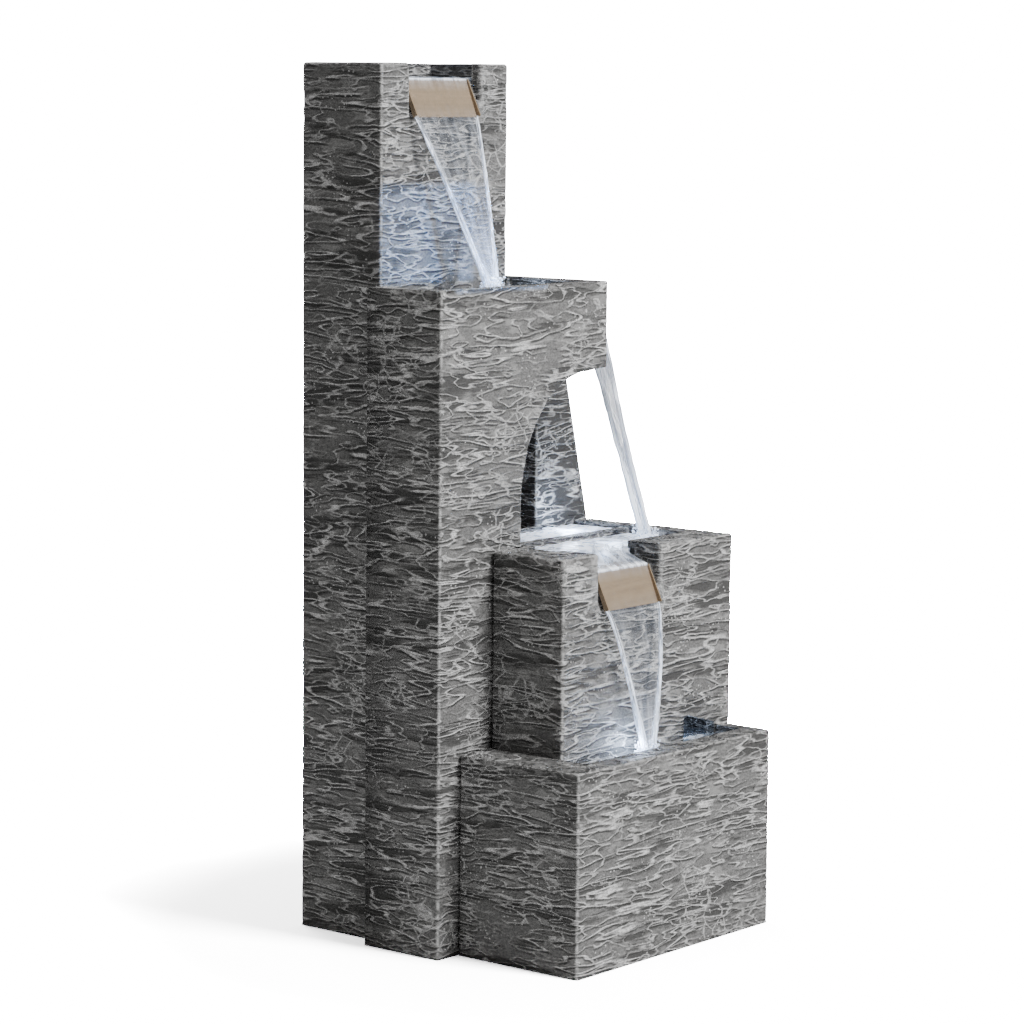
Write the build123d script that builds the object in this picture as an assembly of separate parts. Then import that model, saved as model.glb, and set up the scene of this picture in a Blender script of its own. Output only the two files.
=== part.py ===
from build123d import *
import os
from math import cos, hypot, pi, sin

# Three-level patio cascade fountain: a tall hollow tower with a header pool, an arched column that
# carries the upper pool, a rear buttress, a middle basin block over the pump chamber, and a front
# basin. Millimetres. X runs left to right along the front faces, Y runs from the front to the back
# and Z runs up. The origin is the centre of the footprint, on the ground.

# ---------------------------------------------------------------- castings, outer faces
TOWER_LEFT, TOWER_RIGHT = -181.0, 42.0
TOWER_FRONT, BACK = 80.0, 202.0
TOWER_HEIGHT = 1000.0
ARCH_LEFT, ARCH_RIGHT = -205.0, 95.0
COLUMN_RIGHT = -60.0
ARCH_FRONT = -30.0
ARCH_RIM = 751.0
MID_LEFT, MID_RIGHT = -116.0, 205.0
MID_FRONT = -134.5
MID_RIM = 455.0
BASIN_LEFT, BASIN_RIGHT = -171.0, 193.0
BASIN_FRONT = -202.0
BASIN_RIM = 231.0
EDGE_RADIUS = 5.0
SKIN = 10.0  # wall of the hollow castings
SEAT_GAP = 0.2  # between two castings that are set against each other

# ---------------------------------------------------------------- header pool in the tower
HEADER_WALL = 16.0
HEADER_FLOOR = 892.0
HEADER_FLOOR_THICK = 12.0
TOWER_NOTCH = (-135.0, -7.0)
SILL_DEPTH = 45.0  # from the outer face back

# ---------------------------------------------------------------- upper pool over the arch
POOL_WALL = 18.0
POOL_FLOOR = 690.0
POOL_BACK_TOP = 718.0  # the back wall stays under water, against the tower
ARCH_CENTRE = (59.0, 505.0)
ARCH_HALF_SPAN, ARCH_RISE = 119.0, 142.0
ARCH_END_HEIGHT = 650.0

# ---------------------------------------------------------------- rear buttress
BUTTRESS_LEFT = 100.0
BUTTRESS_TOP = 735.0
BUTTRESS_TOP_RIGHT = 129.0
BUTTRESS_SHOULDER = (197.5, 458.0)
BUTTRESS_SPRING = 640.0  # under this height it stands clear of the upper pool
BUTTRESS_WAIST = 435.0  # its right side is upright below this height

# ---------------------------------------------------------------- middle basin block
MID_WALL = 12.0
MID_FLOOR_THICK = 14.0
MID_POOL_FLOOR = 385.0
MID_POOL_FLOOR_THICK = 14.0
MID_POOL_LEFT, MID_POOL_RIGHT = -68.0, 174.0
MID_POOL_FRONT = -84.5
MID_NOTCH = (-54.5, 64.0)
DAM_FRONT, DAM_BACK, DAM_TOP = -2.0, 11.0, 452.0
SHELF_FLOOR = 430.0
SHELF_BACK_TOP = 441.0  # low part of the back wall, in front of the buttress
RETURN_LEFT, RETURN_RIGHT = 112.0, 172.0
RETURN_BOTTOM, RETURN_TOP_LEFT, RETURN_TOP_RIGHT = 66.0, 248.0, 234.0

# ---------------------------------------------------------------- front basin
TROUGH_LEFT, TROUGH_RIGHT = -121.0, 173.0
TROUGH_FRONT = -172.0
TROUGH_FLOOR = 60.0

# ---------------------------------------------------------------- spillway plates
PLATE_THICK = 1.5
PLATE_PROUD = 6.0  # how far the lip stands out of the wall
PLATE_LEAN = 17.0  # lip to crest, front to back
PLATE_RISE = 42.0
CHEEK_LIP, CHEEK_CREST = 5.0, 2.0  # height of the folded sides
UPPER_PLATE = (-133.0, -21.0)
UPPER_LIP = 939.0
MIDDLE_PLATE = (-48.0, 52.0)
MIDDLE_LIP = 390.0
SCREW_R, SCREW_HEAD_R, SCREW_LENGTH = 2.0, 3.8, 14.0
SCREW_BACK, SCREW_INSET = 17.0, 18.0  # from the plate's crest and from its sides
SIDE_SPOUT_Y, SIDE_SPOUT_WIDTH, SIDE_SPOUT_FLOOR = 8.0, 34.0, 716.0
SIDE_SPOUT_THICK, SIDE_SPOUT_WALL_UP, SIDE_SPOUT_OUT = 1.5, 14.0, 14.0

# ---------------------------------------------------------------- pump, hose and fittings
PUMP_X, PUMP_AXIS_Z = 0.0, 56.0
PUMP_HALF = 31.0  # half width and half height of the square housing
MOTOR_FRONT, MOTOR_BACK = -45.0, 15.0
VOLUTE_FRONT = -65.0
GRILLE_FRONT = -83.0
GRILLE_WALL = 2.0
WELL_R, WELL_END = 13.5, 0.0
VOLUTE_R, VOLUTE_FRONT_WALL = 19.0, 3.0
INTAKE_R = 10.0
SHAFT_R = 1.5
RUNNING_GAP = 0.05
MAGNET_R, MAGNET_FRONT, MAGNET_BACK = 12.4, -44.0, -6.0
IMPELLER_R, IMPELLER_FRONT, IMPELLER_BACK = 16.0, -60.0, -48.0
VANES = 6
NOZZLE_Y, NOZZLE_TOP = -54.0, 112.0
NOZZLE_R, NOZZLE_BORE = 6.95, 4.8
HOSE_GRIP = 18.0  # length of hose pushed over the nozzle
HOSE_R, HOSE_BORE = 9.5, 7.0
HOSE_CROSS_Z = 262.0
HOSE_TOWER_Y = 146.0
HOSE_BEND = 48.0
HOSE_HOLE_R = 11.0
FITTING_R, FITTING_FLANGE_R = 11.0, 17.0
BARB_BOTTOM, BARB_TOP = 842.0, 868.0
FOOT_R, FOOT_HEIGHT = 7.0, 11.0
FOOT_SPREAD, FOOT_INSET = 20.0, 12.0
DIAL_R, DIAL_THICK, DIAL_PIN_R = 15.0, 1.6, 2.5
DIAL_BAR_LENGTH, DIAL_BAR_THICK, DIAL_BAR_PROUD = 24.0, 3.0, 5.0
PORT_R, PORT_CIRCLE, PORT_ANGLES = 3.0, 9.0, (45, 135, 225, 315)
SLOT_LENGTH, SLOT_HALF, SLOT_PITCH, SLOT_COLUMN = 10.0, 1.5, 7.0, 22.0

# ---------------------------------------------------------------- lamps
LAMP_R, LAMP_HEIGHT, LAMP_WALL = 16.0, 16.0, 2.0
LENS_THICK = 4.0
LAMPS = {
    "upper_lamp": (-92.0, 40.0, POOL_FLOOR),
    "middle_lamp": (30.0, -50.0, MID_POOL_FLOOR),
    "lower_lamp": (20.0, -153.0, TROUGH_FLOOR),
}

# ---------------------------------------------------------------- service door, drain, grommets
DOOR_Y = (-74.5, 49.8)
DOOR_Z = (245.0, 360.0)
DOOR_THICK = 9.0
DOOR_GAP = 0.8
DOOR_LIP = 8.0
HINGE_Y = DOOR_Y[0] + DOOR_THICK / 2
HINGE_X = MID_RIGHT - DOOR_THICK / 2
PIN_R, PIN_REACH = 2.0, 9.0
LATCH_Y, LATCH_Z = 35.0, (DOOR_Z[0] + DOOR_Z[1]) / 2
LATCH_KNOB_R, LATCH_SHAFT_R, LATCH_KNOB_DEPTH = 8.0, 3.5, 3.0
CAM_REACH, CAM_HALF, CAM_THICK = 20.0, 4.5, 3.0
CAM_GAP = 0.7  # between the wall's inner face and the cam
CAM_SCREW_HEAD_R, CAM_SCREW_R = 3.0, 1.55
COIN_SLOT_WIDTH, COIN_SLOT_LENGTH, COIN_SLOT_DEPTH = 2.0, 12.0, 1.5
DRAIN_Y, DRAIN_Z = 30.0, 34.0
DRAIN_R, DRAIN_HEAD_R, DRAIN_HEAD = 8.0, 13.0, 4.0
GROMMET_X, GROMMET_Z, GROMMET_R = -60.0, 45.0, 9.0


# ---------------------------------------------------------------- helpers
def block(x, y, z):
    """A box from three (low, high) pairs."""
    size = [high - low for low, high in (x, y, z)]
    centre = [(low + high) / 2 for low, high in (x, y, z)]
    return Pos(*centre) * Box(*size)


def prism(points, low, high, radius=0.0):
    """A plan outline raised from low to high, its corners rounded."""
    outline = make_face(Polyline(*points, close=True))
    if radius:
        outline = fillet(outline.vertices(), radius)
    return Pos(0, 0, low) * extrude(outline, high - low)


def slab_xz(points, front, back):
    """An outline in X and Z carried from front to back."""
    outline = Plane.XZ * make_face(Polyline(*points, close=True))
    return Pos(0, back, 0) * extrude(outline, back - front)


def slab_yz(points, left, right):
    """An outline in Y and Z carried from left to right."""
    outline = Plane.YZ * make_face(Polyline(*points, close=True))
    return Pos(left, 0, 0) * extrude(outline, right - left)


def rod_x(y, z, radius, left, right):
    """A round bar along X."""
    return Pos((left + right) / 2, y, z) * Rot(0, 90, 0) * Cylinder(radius, right - left)


def rod_y(x, z, radius, front, back):
    """A round bar along Y."""
    return Pos(x, (front + back) / 2, z) * Rot(90, 0, 0) * Cylinder(radius, back - front)


def rod_z(x, y, radius, low, high):
    """A round bar along Z."""
    return Pos(x, y, (low + high) / 2) * Cylinder(radius, high - low)


def soft_top(casting, radius=EDGE_RADIUS - 1):
    """Round the outer edges of a casting's top face."""
    return fillet(casting.faces().sort_by(Axis.Z)[-1].edges(), radius)


def rectangle(x, y):
    """The four corners of a plan rectangle."""
    return [(x[0], y[0]), (x[1], y[0]), (x[1], y[1]), (x[0], y[1])]


def plate_section(face_y, lip_z, back_y):
    """Front slope and flat flange of a spillway plate, in Y and Z, one sheet thick."""
    slope = hypot(PLATE_LEAN, PLATE_RISE)
    crest_y, crest_z = face_y - PLATE_PROUD + PLATE_LEAN, lip_z + PLATE_RISE
    inset_y, inset_z = PLATE_THICK * PLATE_RISE / slope, PLATE_THICK * PLATE_LEAN / slope
    under_lip = (face_y - PLATE_PROUD + inset_y, lip_z - inset_z)
    along = (crest_z - PLATE_THICK - under_lip[1]) / PLATE_RISE
    under_crest = (under_lip[0] + PLATE_LEAN * along, crest_z - PLATE_THICK)
    return [
        (face_y - PLATE_PROUD, lip_z),
        (crest_y, crest_z),
        (back_y, crest_z),
        (back_y, crest_z - PLATE_THICK),
        under_crest,
        under_lip,
    ]


def cheek_section(face_y, lip_z):
    """Outline of a folded side: tall at the lip, low at the crest."""
    slope = hypot(PLATE_LEAN, PLATE_RISE)
    out_y, out_z = -PLATE_RISE / slope, PLATE_LEAN / slope
    lip_y, crest_y, crest_z = face_y - PLATE_PROUD, face_y - PLATE_PROUD + PLATE_LEAN, lip_z + PLATE_RISE
    return [
        (lip_y, lip_z),
        (crest_y, crest_z),
        (crest_y + out_y * CHEEK_CREST, crest_z + out_z * CHEEK_CREST),
        (lip_y + out_y * CHEEK_LIP, lip_z + out_z * CHEEK_LIP),
    ]


def spill_notch(span, face_y, lip_z, rim_z, back_y):
    """What is cut from a wall for a spillway plate: a slope up to the sill, then the open channel."""
    sill_z = lip_z + PLATE_RISE - PLATE_THICK
    return slab_yz(
        [
            (face_y - 1, lip_z - 1),
            (face_y, lip_z - 1),
            (face_y + PLATE_LEAN, sill_z),
            (back_y, sill_z),
            (back_y, rim_z + 1),
            (face_y - 1, rim_z + 1),
        ],
        *span,
    )


def screw_points(span, face_y, lip_z):
    """Two places on the flat flange of a spillway plate."""
    y = face_y - PLATE_PROUD + PLATE_LEAN + SCREW_BACK
    return [(x, y, lip_z + PLATE_RISE) for x in (span[0] + SCREW_INSET, span[1] - SCREW_INSET)]


def screw_holes(span, face_y, lip_z):
    """Blind screw holes in the sill under a spillway plate."""
    top = lip_z + PLATE_RISE
    depth = SCREW_LENGTH + 1.0
    return [rod_z(x, y, SCREW_R, top - depth, top) for x, y, _ in screw_points(span, face_y, lip_z)]


# ---------------------------------------------------------------- castings
def tower_shell():
    """Tall hollow tower: dry shaft below, open header pool on top, notch for the spillway."""
    footprint = rectangle((TOWER_LEFT, TOWER_RIGHT), (TOWER_FRONT, BACK))
    outer = soft_top(prism(footprint, 0, TOWER_HEIGHT, EDGE_RADIUS))
    shaft_top = HEADER_FLOOR - HEADER_FLOOR_THICK
    shaft = block(
        (TOWER_LEFT + SKIN, TOWER_RIGHT - SKIN), (TOWER_FRONT + SKIN, BACK - SKIN), (-1, shaft_top)
    )
    pool = block(
        (TOWER_LEFT + HEADER_WALL, TOWER_RIGHT - HEADER_WALL),
        (TOWER_FRONT + HEADER_WALL, BACK - HEADER_WALL),
        (HEADER_FLOOR, TOWER_HEIGHT + 1),
    )
    sill_back = TOWER_FRONT + SILL_DEPTH
    sill_top = UPPER_LIP + PLATE_RISE - PLATE_THICK
    sill = block(TOWER_NOTCH, (TOWER_FRONT + HEADER_WALL, sill_back), (HEADER_FLOOR, sill_top))
    casting = outer - shaft - pool + sill
    casting -= spill_notch(TOWER_NOTCH, TOWER_FRONT, UPPER_LIP, TOWER_HEIGHT, sill_back + 1)
    casting -= screw_holes(UPPER_PLATE, TOWER_FRONT, UPPER_LIP)
    casting -= rod_z(PUMP_X, HOSE_TOWER_Y, FITTING_R + 0.2, shaft_top - 1, HEADER_FLOOR + 1)
    casting -= rod_y(PUMP_X, HOSE_CROSS_Z, HOSE_HOLE_R, TOWER_FRONT - 1, TOWER_FRONT + SKIN + 1)
    casting -= rod_y(GROMMET_X, GROMMET_Z, GROMMET_R, BACK - SKIN - 1, BACK + 1)
    return casting


def arch_outline():
    """Front view of the arched casting: column, quarter arch and the upper pool's fascia."""
    across, rise = ARCH_HALF_SPAN, ARCH_RISE
    centre_x, centre_z = ARCH_CENTRE
    steps = 10
    curve = [
        (centre_x - across * cos(pi / 2 * i / steps), centre_z + rise * sin(pi / 2 * i / steps))
        for i in range(steps + 1)
    ]
    head = [(ARCH_LEFT, 0), (COLUMN_RIGHT, 0), (COLUMN_RIGHT, centre_z)]
    sides = make_face(
        Polyline(*head)
        + Spline(*curve, tangents=[(0, 1), (1, 0)])
        + Polyline(
            curve[-1],
            (ARCH_RIGHT, ARCH_END_HEIGHT),
            (ARCH_RIGHT, ARCH_RIM),
            (ARCH_LEFT, ARCH_RIM),
            (ARCH_LEFT, 0),
        )
    )
    return Plane.XZ * sides


def arch_pool_shell():
    """Column, quarter arch and the L-shaped upper pool that wraps the tower's right side."""
    back = TOWER_FRONT - SEAT_GAP
    front_part = Pos(0, back, 0) * extrude(arch_outline(), back - ARCH_FRONT)
    left = TOWER_RIGHT + SEAT_GAP
    side_part = block((left, ARCH_RIGHT), (back - 1, BACK), (ARCH_END_HEIGHT, ARCH_RIM))
    casting = front_part + side_part
    corners = [
        edge
        for edge in casting.edges().filter_by(Axis.Z)
        if (abs(edge.center().X - ARCH_LEFT) < 1 and abs(edge.center().Y - ARCH_FRONT) < 1)
        or abs(edge.center().X - ARCH_RIGHT) < 1
        or (abs(edge.center().X - COLUMN_RIGHT) < 1 and abs(edge.center().Y - ARCH_FRONT) < 1)
    ]
    casting = fillet(corners, EDGE_RADIUS)
    inner_right = ARCH_RIGHT - POOL_WALL
    casting -= block(
        (ARCH_LEFT + POOL_WALL, inner_right),
        (ARCH_FRONT + POOL_WALL, back - SKIN),
        (POOL_FLOOR, ARCH_RIM + 1),
    )
    casting -= block(
        (left + SKIN, inner_right), (back - SKIN - 1, BACK - POOL_WALL), (POOL_FLOOR, ARCH_RIM + 1)
    )
    span = (ARCH_LEFT + POOL_WALL, left + SKIN)
    behind_water = block(span, (back - SKIN - 1, back + 1), (POOL_BACK_TOP, ARCH_RIM + 1))
    casting -= behind_water
    casting -= block(
        (ARCH_LEFT + SKIN, COLUMN_RIGHT - SKIN),
        (ARCH_FRONT + SKIN, back - SKIN),
        (-1, POOL_FLOOR - POOL_WALL),
    )
    casting -= side_spout_slot()
    return casting


def rear_buttress():
    """Hollow tapered pier behind the middle basin, which carries the upper pool's rear end."""
    outline = [
        (BUTTRESS_LEFT, 0),
        (MID_RIGHT, 0),
        (MID_RIGHT, BUTTRESS_WAIST),
        BUTTRESS_SHOULDER,
        (BUTTRESS_TOP_RIGHT, BUTTRESS_TOP),
        (ARCH_RIGHT + SEAT_GAP, BUTTRESS_TOP),
        (ARCH_RIGHT + SEAT_GAP, ARCH_END_HEIGHT),
        (BUTTRESS_LEFT, BUTTRESS_SPRING),
    ]
    front, back = TOWER_FRONT + SEAT_GAP, BACK
    pier = slab_xz(outline, front, back)
    hollow_top = BUTTRESS_SPRING - 20
    taper = (BUTTRESS_TOP_RIGHT - BUTTRESS_SHOULDER[0]) / (BUTTRESS_TOP - BUTTRESS_SHOULDER[1])
    hollow_top_right = BUTTRESS_SHOULDER[0] + taper * (hollow_top - BUTTRESS_SHOULDER[1]) - SKIN
    hollow = [
        (BUTTRESS_LEFT + SKIN, -1),
        (MID_RIGHT - SKIN, -1),
        (MID_RIGHT - SKIN, BUTTRESS_WAIST - 5),
        (BUTTRESS_SHOULDER[0] - SKIN, BUTTRESS_SHOULDER[1]),
        (hollow_top_right, hollow_top),
        (BUTTRESS_LEFT + SKIN, hollow_top),
    ]
    return pier - slab_xz(hollow, front + SKIN, back - SKIN)


def mid_outline(inset=0.0):
    """Plan of the middle block: a rectangle with its rear left corner cut for the column."""
    column_x, column_y = COLUMN_RIGHT + SEAT_GAP + inset, ARCH_FRONT - SEAT_GAP - inset
    left, right = MID_LEFT + inset, MID_RIGHT - inset
    front, back = MID_FRONT + inset, TOWER_FRONT - SEAT_GAP - inset
    front_edge = [(left, front), (right, front), (right, back)]
    return front_edge + [(column_x, back), (column_x, column_y), (left, column_y)]


def mid_basin_shell():
    """Middle block: open pool with a low dam on top, pump chamber with a service door below."""
    casting = soft_top(prism(mid_outline(), 0, MID_RIM, EDGE_RADIUS))
    back = TOWER_FRONT - SEAT_GAP
    wall_back = back - SKIN
    chamber_top = MID_POOL_FLOOR - MID_POOL_FLOOR_THICK
    casting -= prism(mid_outline(MID_WALL), MID_FLOOR_THICK, chamber_top)
    casting -= block(
        (MID_POOL_LEFT, MID_POOL_RIGHT),
        (MID_POOL_FRONT, ARCH_FRONT - SKIN),
        (MID_POOL_FLOOR, MID_RIM + 1),
    )
    column_side = COLUMN_RIGHT + SKIN
    casting -= block(
        (column_side, MID_POOL_RIGHT), (ARCH_FRONT - SKIN - 1, DAM_FRONT), (MID_POOL_FLOOR, MID_RIM + 1)
    )
    casting -= block((column_side, MID_POOL_RIGHT), (DAM_BACK, wall_back), (SHELF_FLOOR, MID_RIM + 1))
    casting -= block((column_side, MID_POOL_RIGHT), (DAM_FRONT - 1, DAM_BACK + 1), (DAM_TOP, MID_RIM + 1))
    shelf_span = (BUTTRESS_LEFT, MID_POOL_RIGHT)
    casting -= block(shelf_span, (wall_back - 1, back + 1), (SHELF_BACK_TOP, MID_RIM + 1))
    casting -= spill_notch(MID_NOTCH, MID_FRONT, MIDDLE_LIP, MID_RIM, MID_POOL_FRONT + 1)
    casting -= screw_holes(MIDDLE_PLATE, MID_FRONT, MIDDLE_LIP)
    casting -= slab_xz(
        [
            (RETURN_LEFT - 4, RETURN_BOTTOM),
            (RETURN_RIGHT, RETURN_BOTTOM),
            (RETURN_RIGHT, RETURN_TOP_RIGHT),
            (RETURN_LEFT + 8, RETURN_TOP_LEFT),
            (RETURN_LEFT, RETURN_TOP_LEFT - 3),
        ],
        MID_FRONT - 1,
        MID_FRONT + MID_WALL + 1,
    )
    casting -= rod_y(PUMP_X, HOSE_CROSS_Z, HOSE_HOLE_R, back - MID_WALL - 1, back + 1)
    casting -= door_opening()
    casting -= rod_x(DRAIN_Y, DRAIN_Z, DRAIN_R, MID_RIGHT - MID_WALL - 1, MID_RIGHT + 1)
    recess = DRAIN_HEAD + 1
    casting -= rod_x(DRAIN_Y, DRAIN_Z, DRAIN_HEAD_R + 1.5, MID_RIGHT - recess, MID_RIGHT + 1)
    return casting


def door_opening():
    """Rebated opening for the service door, with the two hinge pin holes."""
    seat_x = MID_RIGHT - DOOR_THICK - 0.3
    rebate = block(
        (seat_x, MID_RIGHT + 1),
        (DOOR_Y[0] - DOOR_GAP, DOOR_Y[1] + DOOR_GAP),
        (DOOR_Z[0] - DOOR_GAP, DOOR_Z[1] + DOOR_GAP),
    )
    way_in = block(
        (MID_RIGHT - MID_WALL - 1, seat_x + 1),
        (DOOR_Y[0] + DOOR_LIP, DOOR_Y[1] - DOOR_LIP),
        (DOOR_Z[0] + DOOR_LIP, DOOR_Z[1] - DOOR_LIP),
    )
    reach = PIN_REACH + DOOR_GAP
    pins = rod_z(HINGE_X, HINGE_Y, PIN_R + RUNNING_GAP, DOOR_Z[0] - reach, DOOR_Z[1] + reach)
    return rebate + way_in + pins


def lower_basin_shell():
    """Front basin: a deep trough in front of the middle block and a closed left wing beside it."""
    outline = [
        (BASIN_LEFT, BASIN_FRONT),
        (BASIN_RIGHT, BASIN_FRONT),
        (BASIN_RIGHT, MID_FRONT - SEAT_GAP),
        (MID_LEFT - SEAT_GAP, MID_FRONT - SEAT_GAP),
        (MID_LEFT - SEAT_GAP, ARCH_FRONT - SEAT_GAP),
        (BASIN_LEFT, ARCH_FRONT - SEAT_GAP),
    ]
    casting = soft_top(prism(outline, 0, BASIN_RIM, EDGE_RADIUS))
    trough = (TROUGH_LEFT, TROUGH_RIGHT)
    casting -= block(trough, (TROUGH_FRONT, MID_FRONT + 1), (TROUGH_FLOOR, BASIN_RIM + 1))
    wing = (BASIN_LEFT + SKIN, TROUGH_LEFT - SKIN)
    casting -= block(wing, (BASIN_FRONT + SKIN, ARCH_FRONT - SEAT_GAP - SKIN), (-1, BASIN_RIM - 12))
    casting -= block(
        (TROUGH_LEFT, BASIN_RIGHT - SKIN),
        (BASIN_FRONT + SKIN, MID_FRONT - SEAT_GAP - SKIN),
        (-1, TROUGH_FLOOR - 12),
    )
    return casting


# ---------------------------------------------------------------- spillways
def spillway_plate(span, face_y, lip_z, back_y):
    """Folded stainless plate: sloping front, flat screwed flange and two low sides."""
    plate = slab_yz(plate_section(face_y, lip_z, back_y), *span)
    cheeks = cheek_section(face_y, lip_z)
    plate += slab_yz(cheeks, span[0], span[0] + PLATE_THICK)
    plate += slab_yz(cheeks, span[1] - PLATE_THICK, span[1])
    for x, y, z in screw_points(span, face_y, lip_z):
        plate -= rod_z(x, y, SCREW_R + 0.2, z - PLATE_THICK - 1, z + 1)
    return plate


def upper_spillway_plate():
    """Plate in the tower's notch."""
    return spillway_plate(UPPER_PLATE, TOWER_FRONT, UPPER_LIP, TOWER_FRONT + SILL_DEPTH)


def middle_spillway_plate():
    """Plate in the middle basin's notch."""
    return spillway_plate(MIDDLE_PLATE, MID_FRONT, MIDDLE_LIP, MID_POOL_FRONT)


def spillway_screws():
    """Pan head screws through the flat flanges."""
    places = screw_points(UPPER_PLATE, TOWER_FRONT, UPPER_LIP)
    places += screw_points(MIDDLE_PLATE, MID_FRONT, MIDDLE_LIP)
    screws = []
    for x, y, z in places:
        head = rod_z(x, y, SCREW_HEAD_R, z, z + 2.0) - rod_z(x, y, 1.2, z + 1.0, z + 3.0)
        screws.append(head + rod_z(x, y, SCREW_R - 0.05, z - SCREW_LENGTH, z + 0.5))
    return screws


def side_spout_slot():
    """Slot in the upper pool's end wall for the side spout."""
    half = SIDE_SPOUT_WIDTH / 2 + 0.2
    low = SIDE_SPOUT_FLOOR - 0.2
    return block(
        (ARCH_RIGHT - POOL_WALL - 1, ARCH_RIGHT + 1),
        (SIDE_SPOUT_Y - half, SIDE_SPOUT_Y + half),
        (low, low + SIDE_SPOUT_WALL_UP + 0.4),
    )


def side_spout():
    """Short stainless channel through the upper pool's end wall."""
    left, right = ARCH_RIGHT - POOL_WALL - 6.0, ARCH_RIGHT + SIDE_SPOUT_OUT
    half = SIDE_SPOUT_WIDTH / 2
    low, high = SIDE_SPOUT_FLOOR, SIDE_SPOUT_FLOOR + SIDE_SPOUT_WALL_UP
    outer = block((left, right), (SIDE_SPOUT_Y - half, SIDE_SPOUT_Y + half), (low, high))
    inside = half - SIDE_SPOUT_THICK
    return outer - block(
        (left - 1, right + 1),
        (SIDE_SPOUT_Y - inside, SIDE_SPOUT_Y + inside),
        (low + SIDE_SPOUT_THICK, high + 1),
    )


# ---------------------------------------------------------------- water line
def hose_path():
    """Pump nozzle, up the chamber, back into the tower and up its shaft."""
    start = (PUMP_X, NOZZLE_Y, NOZZLE_TOP - HOSE_GRIP)
    return FilletPolyline(
        start,
        (PUMP_X, NOZZLE_Y, HOSE_CROSS_Z),
        (PUMP_X, HOSE_TOWER_Y, HOSE_CROSS_Z),
        (PUMP_X, HOSE_TOWER_Y, BARB_TOP - 3.0),
        radius=HOSE_BEND,
    )


def riser_hose():
    """Flexible hose from the pump to the header pool."""
    path = hose_path()
    start = Plane((PUMP_X, NOZZLE_Y, NOZZLE_TOP - HOSE_GRIP), z_dir=(0, 0, 1))
    ring = start * (Circle(HOSE_R) - Circle(HOSE_BORE))
    return sweep(ring, path=path)


def header_fitting():
    """Bulkhead fitting in the header pool's floor, with a hose barb under it."""
    x, y = PUMP_X, HOSE_TOWER_Y
    body = rod_z(x, y, FITTING_R, BARB_TOP, HEADER_FLOOR + 0.5)
    flange = rod_z(x, y, FITTING_FLANGE_R, HEADER_FLOOR, HEADER_FLOOR + 4.0)
    barb = rod_z(x, y, NOZZLE_R, BARB_BOTTOM, BARB_TOP + 1.0)
    return body + flange + barb - rod_z(x, y, NOZZLE_BORE, BARB_BOTTOM - 1, HEADER_FLOOR + 5.0)


def header_fitting_nut():
    """Hexagon nut that clamps the fitting from inside the shaft."""
    under = HEADER_FLOOR - HEADER_FLOOR_THICK
    hexagon = Pos(PUMP_X, HOSE_TOWER_Y, under - 8.0) * extrude(RegularPolygon(FITTING_FLANGE_R, 6), 8.0)
    return hexagon - rod_z(PUMP_X, HOSE_TOWER_Y, FITTING_R + 0.05, under - 10.0, under + 1.0)


def hose_clamps():
    """Two worm-drive clamps, one on the pump nozzle and one on the header barb."""
    clamps = []
    for y, z in ((NOZZLE_Y, NOZZLE_TOP - 12.0), (HOSE_TOWER_Y, BARB_BOTTOM + 8.0)):
        band = rod_z(PUMP_X, y, HOSE_R + 0.9, z, z + 9.0) + block(
            (PUMP_X - 6.0, PUMP_X + 6.0), (y - HOSE_R - 6.0, y - HOSE_R + 1.0), (z + 1.0, z + 8.0)
        )
        clamps.append(band - rod_z(PUMP_X, y, HOSE_R + 0.05, z - 1.0, z + 10.0))
    return clamps


# ---------------------------------------------------------------- pump
def pump_square(front, back, inset=0.0):
    """A stretch of the pump's square housing."""
    half = PUMP_HALF - inset
    return block((PUMP_X - half, PUMP_X + half), (front, back), (PUMP_AXIS_Z - half, PUMP_AXIS_Z + half))


def pump_bar(radius, front, back):
    """A round bar on the pump's axis."""
    return rod_y(PUMP_X, PUMP_AXIS_Z, radius, front, back)


def pump_motor_body():
    """Potted motor housing with the rotor well and a seat for the rear bushing."""
    body = fillet(pump_square(MOTOR_FRONT, MOTOR_BACK).edges().filter_by(Axis.Y), 6.0)
    body -= pump_bar(WELL_R, MOTOR_FRONT - 1, WELL_END)
    return body - pump_bar(4.0, WELL_END - 1, WELL_END + 5.0)


def pump_volute_cover():
    """Volute with the upward nozzle, the intake eye and a spider for the front bushing."""
    cover = fillet(pump_square(VOLUTE_FRONT, MOTOR_FRONT).edges().filter_by(Axis.Y), 6.0)
    cover += rod_z(PUMP_X, NOZZLE_Y, NOZZLE_R, PUMP_AXIS_Z + PUMP_HALF - 2.0, NOZZLE_TOP)
    cover -= pump_bar(VOLUTE_R, VOLUTE_FRONT + VOLUTE_FRONT_WALL, MOTOR_FRONT + 1)
    cover -= pump_bar(INTAKE_R, VOLUTE_FRONT - 1, VOLUTE_FRONT + VOLUTE_FRONT_WALL + 1)
    cover -= rod_z(PUMP_X, NOZZLE_Y, NOZZLE_BORE, PUMP_AXIS_Z + 10.0, NOZZLE_TOP + 1)
    ring = pump_bar(5.5, VOLUTE_FRONT, VOLUTE_FRONT + VOLUTE_FRONT_WALL)
    for turn in range(3):
        spoke = Pos(0, 0, 8.0) * Box(2.0, VOLUTE_FRONT_WALL, 7.0)
        centre_y = VOLUTE_FRONT + VOLUTE_FRONT_WALL / 2
        ring += Pos(PUMP_X, centre_y, PUMP_AXIS_Z) * Rot(0, 120 * turn, 0) * spoke
    return cover + ring - pump_bar(4.0, VOLUTE_FRONT - 1, VOLUTE_FRONT + VOLUTE_FRONT_WALL + 1)


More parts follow.
